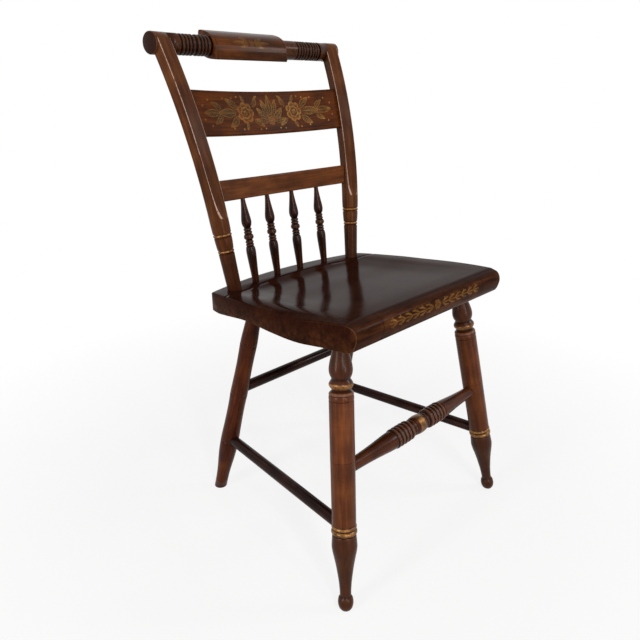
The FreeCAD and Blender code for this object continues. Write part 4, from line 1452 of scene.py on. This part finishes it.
def board_sections(low, high, thickness, bow, forward, front_steps, along_steps):
    """Sections of a bent board from left to right, and the flat places of its points."""
    foot, upward, rearward, low_span, high_span = board_lean(low, high, forward)
    radius = arc_radius((low_span + high_span) / 2, bow)
    middle = foot + rearward * bow
    centre = middle - rearward * radius
    height = (high - low) / upward.z
    loop = board_loop(height, thickness, front_steps)
    sections = []
    flat_places = []
    for step in range(along_steps + 1):
        across = -1 + 2 * step / along_steps
        ring = []
        flat_ring = []
        for back, up in loop:
            span = low_span + (high_span - low_span) * up / height
            reach = span + board_let_in - post_flat_side
            turn = math.asin(reach * across / (radius + back))
            outward = rearward * math.cos(turn) + Vector((1, 0, 0)) * math.sin(turn)
            ring.append(place(centre + outward * (radius + back) + upward * up))
            flat_ring.append(Vector((radius * turn, up, back)) / 1000)
        sections.append(ring)
        flat_places.append(flat_ring)
    return sections, flat_places


back_height = ear_top - deck_at_post
slat_low = deck_at_post + slat_share * back_height - slat_height / 2
rail_low = deck_at_post + rail_share * back_height - rail_height / 2
slat_sections, slat_flat = board_sections(
    slat_low, slat_low + slat_height, slat_thickness, slat_bow, slat_forward,
    slat_front_steps, slat_along_steps)
slat_tall = max(point.y for point in slat_flat[0]) * 1000

# The stencil: a fan of leaves in the middle, a flower each side of it and sprays out to the ends
slat_art = mirrored_leaves([
    ((80, 0), 0, 40, 16, 0), ((76, 6), 38, 30, 12, 2), ((76, -6), -38, 30, 12, -2),
    ((112, 2), 40, 26, 10, 2), ((112, -2), -40, 26, 10, -2), ((118, 0), 0, 34, 13, 0),
    ((38, 10), 116, 22, 9, 1), ((40, -12), 214, 24, 9, -1), ((56, 18), 62, 14, 6, 0),
    ((56, -18), -62, 14, 6, 0), ((6, -12), 40, 32, 12, -2), ((8, -16), 8, 28, 10, -1),
    ((4, -8), 68, 34, 12, -1),
])
slat_art += [framed(leaf, 44, ((0, -6), 90, 38, 13, 0))]
slat_art += [framed(rosette, 21, ((side * 58, 0), 19, 7)) for side in (-1, 1)]
slat_art += [framed(rosette, 9, ((0, -15), 8, 5))]
for aside, above in ((26, 29), (84, 26), (92, -27), (104, 25), (138, 22), (140, -22), (152, 12),
                     (153, -11), (30, -30), (18, -29), (72, 28), (70, -29)):
    slat_art += [framed(dot, 4, ((side * aside, above), 1.7)) for side in (-1, 1)]
# The fine dark lines' distances from the slat's lower and upper edges
slat_line_low = 6.5
slat_line_high = 4
slat_line_half_width = 0.7


def slat_relief(row, step):
    """A fine dark line runs along each long edge of the slat's front."""
    if step > slat_front_steps:
        return 0
    up = slat_flat[row][step].y * 1000
    from_line = min(abs(up - slat_line_low), abs(slat_tall - up - slat_line_high))
    return -0.75 if from_line < slat_line_half_width else 0


def slat_place(point):
    """A flat point's place in the drawing for the slat, from its middle."""
    return point.x * 1000, point.y * 1000 - slat_tall / 2


# The bronze lies thicker towards the right end, which was worn less
slat_marks = [("relief", slat_relief)] + stencil_marks(
    slat_flat, range(slat_front_steps + 1), slat_place, slat_art, 0.44, 0.34, 0.8)
slat = lofted("back_slat_board", slat_sections, slat_flat, slat_marks)
rail_sections, rail_flat = board_sections(
    rail_low, rail_low + rail_height, rail_thickness, rail_bow, rail_forward,
    rail_front_steps, rail_along_steps)
stay_rail = lofted("stay_rail_board", rail_sections, rail_flat)
# Streaks of the brush, 8 mm high and 80 mm long, and the plane's fine lines along the boards
board_grain = (1 / 0.08, 1 / 0.008, 1 / 0.008)
plane_lines = (6, 1 / 0.0018, 6)
slat_paint = grained_paint(
    "varnished brown paint with a bronze stencil",
    ("#391b08", "#49230a", "#582b0d", "#673512"),
    "#946c46", "#220c05", "along_grain", board_grain, plane_lines, 0.26, 1.08, stencil=True)
rail_paint = grained_paint(
    "varnished brown paint on the bent stay rail",
    ("#4c2812", "#5b3117", "#69391b", "#784722"),
    "#a07a54", "#220c05", "along_grain", board_grain, plane_lines, 0.2)
dressed(slat, ["back_slat"], [slat_paint])
dressed(stay_rail, ["stay_rail"], [rail_paint])


# Spindles. Four short maple turnings between the seat and the stay rail, with two vases and a
# ring between pairs of beads. They are painted nearly black and varnished.
spindle_count = 4
spindle_spacing = 60.6
spindle_back = 159.6
spindle_bow = 25.7
spindle_fan = 1.02
spindle_lean = 3
spindle_thickness = 18.4
spindle_tenon = (16, 12.6)
spindle_neck = (11, 8.2)

spindle_table = [
    (0.000, 0.685, "flat"),
    (0.120, 0.775, "swell"), (0.240, 0.890, "swell"), (0.352, 0.978, "swell"),
    (0.400, 0.930, "swell"), (0.426, 0.820, "swell"),
    (0.430, 0.715, "flat"), (0.434, 0.690, "flat"), (0.462, 0.690, "bead"),
    (0.468, 0.690, "flat"), (0.496, 0.695, "bead"),
    (0.504, 0.650, "flat"), (0.512, 0.700, "flat"),
    (0.525, 0.920, "swell"), (0.544, 0.975, "swell"), (0.563, 0.920, "swell"),
    (0.576, 0.760, "swell"), (0.580, 0.700, "flat"), (0.584, 0.700, "flat"),
    (0.611, 0.705, "bead"), (0.618, 0.680, "flat"), (0.621, 0.680, "flat"),
    (0.649, 0.680, "bead"), (0.654, 0.660, "flat"), (0.662, 0.706, "flat"),
    (0.682, 0.880, "swell"), (0.706, 0.970, "swell"), (0.730, 1.000, "swell"),
    (0.775, 0.930, "swell"), (0.840, 0.760, "swell"), (0.910, 0.590, "swell"),
    (0.965, 0.480, "swell"), (1.000, 0.446, "swell"),
]
spindle_paint = grained_paint(
    "varnished dark paint on the spindles",
    ("#1e0c06", "#2d140a", "#3e1d0f", "#522a17"),
    "#6e4228", "#0b0403", "along_grain", (1 / 0.004, 1 / 0.004, 1 / 0.04), gouge_rings,
    0.2, 1.22)

rail_foot, _, rail_rearward, rail_low_span, rail_high_span = board_lean(
    rail_low, rail_low + rail_height, rail_forward)
rail_radius = arc_radius((rail_low_span + rail_high_span) / 2, rail_bow)
for number in range(1, spindle_count + 1):
    across = (number - (spindle_count + 1) / 2) * spindle_spacing
    back = spindle_back + spindle_bow * (1 - (across / post_side) ** 2)
    share = (back - seat_front) / seat_depth
    foot = Vector((across, back, seat_low + seat_rise * read_smooth(seat_top_table, share)))
    head_across = across * spindle_fan - spindle_lean
    sag = rail_radius - math.sqrt(rail_radius ** 2 - head_across ** 2)
    head = rail_foot + rail_rearward * (rail_bow - sag) + Vector((head_across, 0, 0))
    length = (head - foot).length
    rows = table_rows(spindle_table, length, spindle_thickness, spindle_tenon)
    rows.append((spindle_tenon[0] + length + spindle_neck[0], spindle_neck[1] / 2, "flat"))
    spindle = turned("spindle_%d_turning" % number, rows)
    way = (head - foot).normalized()
    stood(spindle, place(foot - way * spindle_tenon[0]), place(head))
    dressed(spindle, ["spindle_%d" % number], [spindle_paint])


# Floor, light and camera. A pale studio floor that fades into a white backdrop and keeps the
# chair's soft shadow. Two tall strip lamps and a low one stand in front and on the left and draw
# the bright lines on the turnings, and a small soft lamp lights the back from the right.
floor_radius = 30
floor_sides = 96
floor_colour = "#8c8a88"
floor_seen_colour = "#efefed"
# Distances from the chair over which the floor fades to white, and its least share of white
fade_start = 0.45
fade_end = 1.1
fade_least = 0.82
# Strength of the white world on what it lights; a strength of 1 is seen as white
world_strength = 0.26


def seen_share(material):
    """Outputs that are 1 for rays from the camera, and for those seen directly or mirrored."""
    ray = add(material, "LightPath", {}, {})
    seen = add(material, "Math", {"operation": "MAXIMUM"}, {
        0: ray.outputs["Is Camera Ray"], 1: ray.outputs["Is Glossy Ray"]})
    seen_through = add(material, "Math", {"operation": "MAXIMUM"}, {
        0: seen.outputs["Value"], 1: ray.outputs["Is Transmission Ray"]})
    return ray.outputs["Is Camera Ray"], seen_through.outputs["Value"]


nothing_selected()
bpy.ops.mesh.primitive_circle_add(
    vertices=floor_sides, radius=floor_radius, fill_type="NGON", location=(0, 0, 0))
floor = bpy.context.object
floor.name = "studio_floor"
floor_paper, matte = new_material("white studio paper")
matte.inputs["Roughness"].default_value = 0.95
where = add(floor_paper, "TexCoord", {}, {}).outputs["Object"]
from_chair = add(floor_paper, "VectorMath", {"operation": "LENGTH"}, {0: where})
away = add(floor_paper, "MapRange", {}, {
    "Value": from_chair.outputs["Value"], "From Min": fade_start, "From Max": fade_end,
    "To Min": fade_least, "To Max": 1})
camera_ray, seen_ray = seen_share(floor_paper)
tint = add(floor_paper, "Mix", {"data_type": "RGBA"}, {
    "Factor": camera_ray, 6: linear(floor_colour), 7: linear(floor_seen_colour)})
floor_paper.node_tree.links.new(tint.outputs[2], matte.inputs["Base Color"])
lit = add(floor_paper, "Math", {"operation": "MULTIPLY"}, {
    0: away.outputs["Result"], 1: seen_ray})
white = add(floor_paper, "Emission", {}, {"Color": (1, 1, 1, 1), "Strength": 1})
paper = add(floor_paper, "MixShader", {}, {
    "Fac": lit.outputs["Value"], 1: matte.outputs["BSDF"], 2: white.outputs["Emission"]})
floor_output = floor_paper.node_tree.nodes["Material Output"]
floor_paper.node_tree.links.new(paper.outputs["Shader"], floor_output.inputs["Surface"])
floor.data.materials.append(floor_paper)

world = bpy.data.worlds.new("white studio")
bpy.context.scene.world = world
world.use_nodes = True
backdrop = world.node_tree.nodes["Background"]
backdrop.inputs["Color"].default_value = (1, 1, 1, 1)
_, seen_ray = seen_share(world)
strength = add(world, "MapRange", {}, {
    "Value": seen_ray, "From Min": 0, "From Max": 1, "To Min": world_strength, "To Max": 1})
world.node_tree.links.new(strength.outputs["Result"], backdrop.inputs["Strength"])


def lamp(name, spot, target, width, height, watts):
    """A soft rectangular lamp at a spot, aimed at a target, both in metres."""
    light = bpy.data.lights.new(name, "AREA")
    light.shape = "RECTANGLE"
    light.size = width
    light.size_y = height
    light.energy = watts
    holder = bpy.data.objects.new(name, light)
    bpy.context.scene.collection.objects.link(holder)
    holder.location = spot
    aim = (Vector(target) - Vector(spot)).to_track_quat("-Z", "Y")
    holder.rotation_euler = aim.to_euler()


chair_centre = (0, 0, 0.6)
lamp("left_strip", (-2.7, 0.1, 1.2), chair_centre, 0.4, 2.0, 37)
lamp("front_strip", (-1.1, -2.5, 1.9), chair_centre, 0.3, 1.6, 34)
lamp("front_low_strip", (-0.3, -2.7, 0.7), chair_centre, 0.12, 1.2, 16)
lamp("right_softbox", (1.76, -1.50, 1.82), (0.05, 0.2, 0.84), 0.4, 0.5, 12)

# The camera stands where the photograph was taken from; its focal length is in pixels
camera_spot = (-739.59, -649.09, 778.93)
camera_down = 21.81
camera_turn = -44.76
focal_pixels = 582.09
picture_pixels = 640
sensor_width = 36
camera_lens = bpy.data.cameras.new("camera")
camera_lens.sensor_width = sensor_width
camera_lens.lens = focal_pixels / picture_pixels * sensor_width
camera = bpy.data.objects.new("camera", camera_lens)
bpy.context.scene.collection.objects.link(camera)
camera.location = place(camera_spot)
camera.rotation_euler = (math.radians(90 - camera_down), 0, math.radians(camera_turn))
bpy.context.scene.camera = camera
bpy.context.scene.view_settings.view_transform = "Standard"
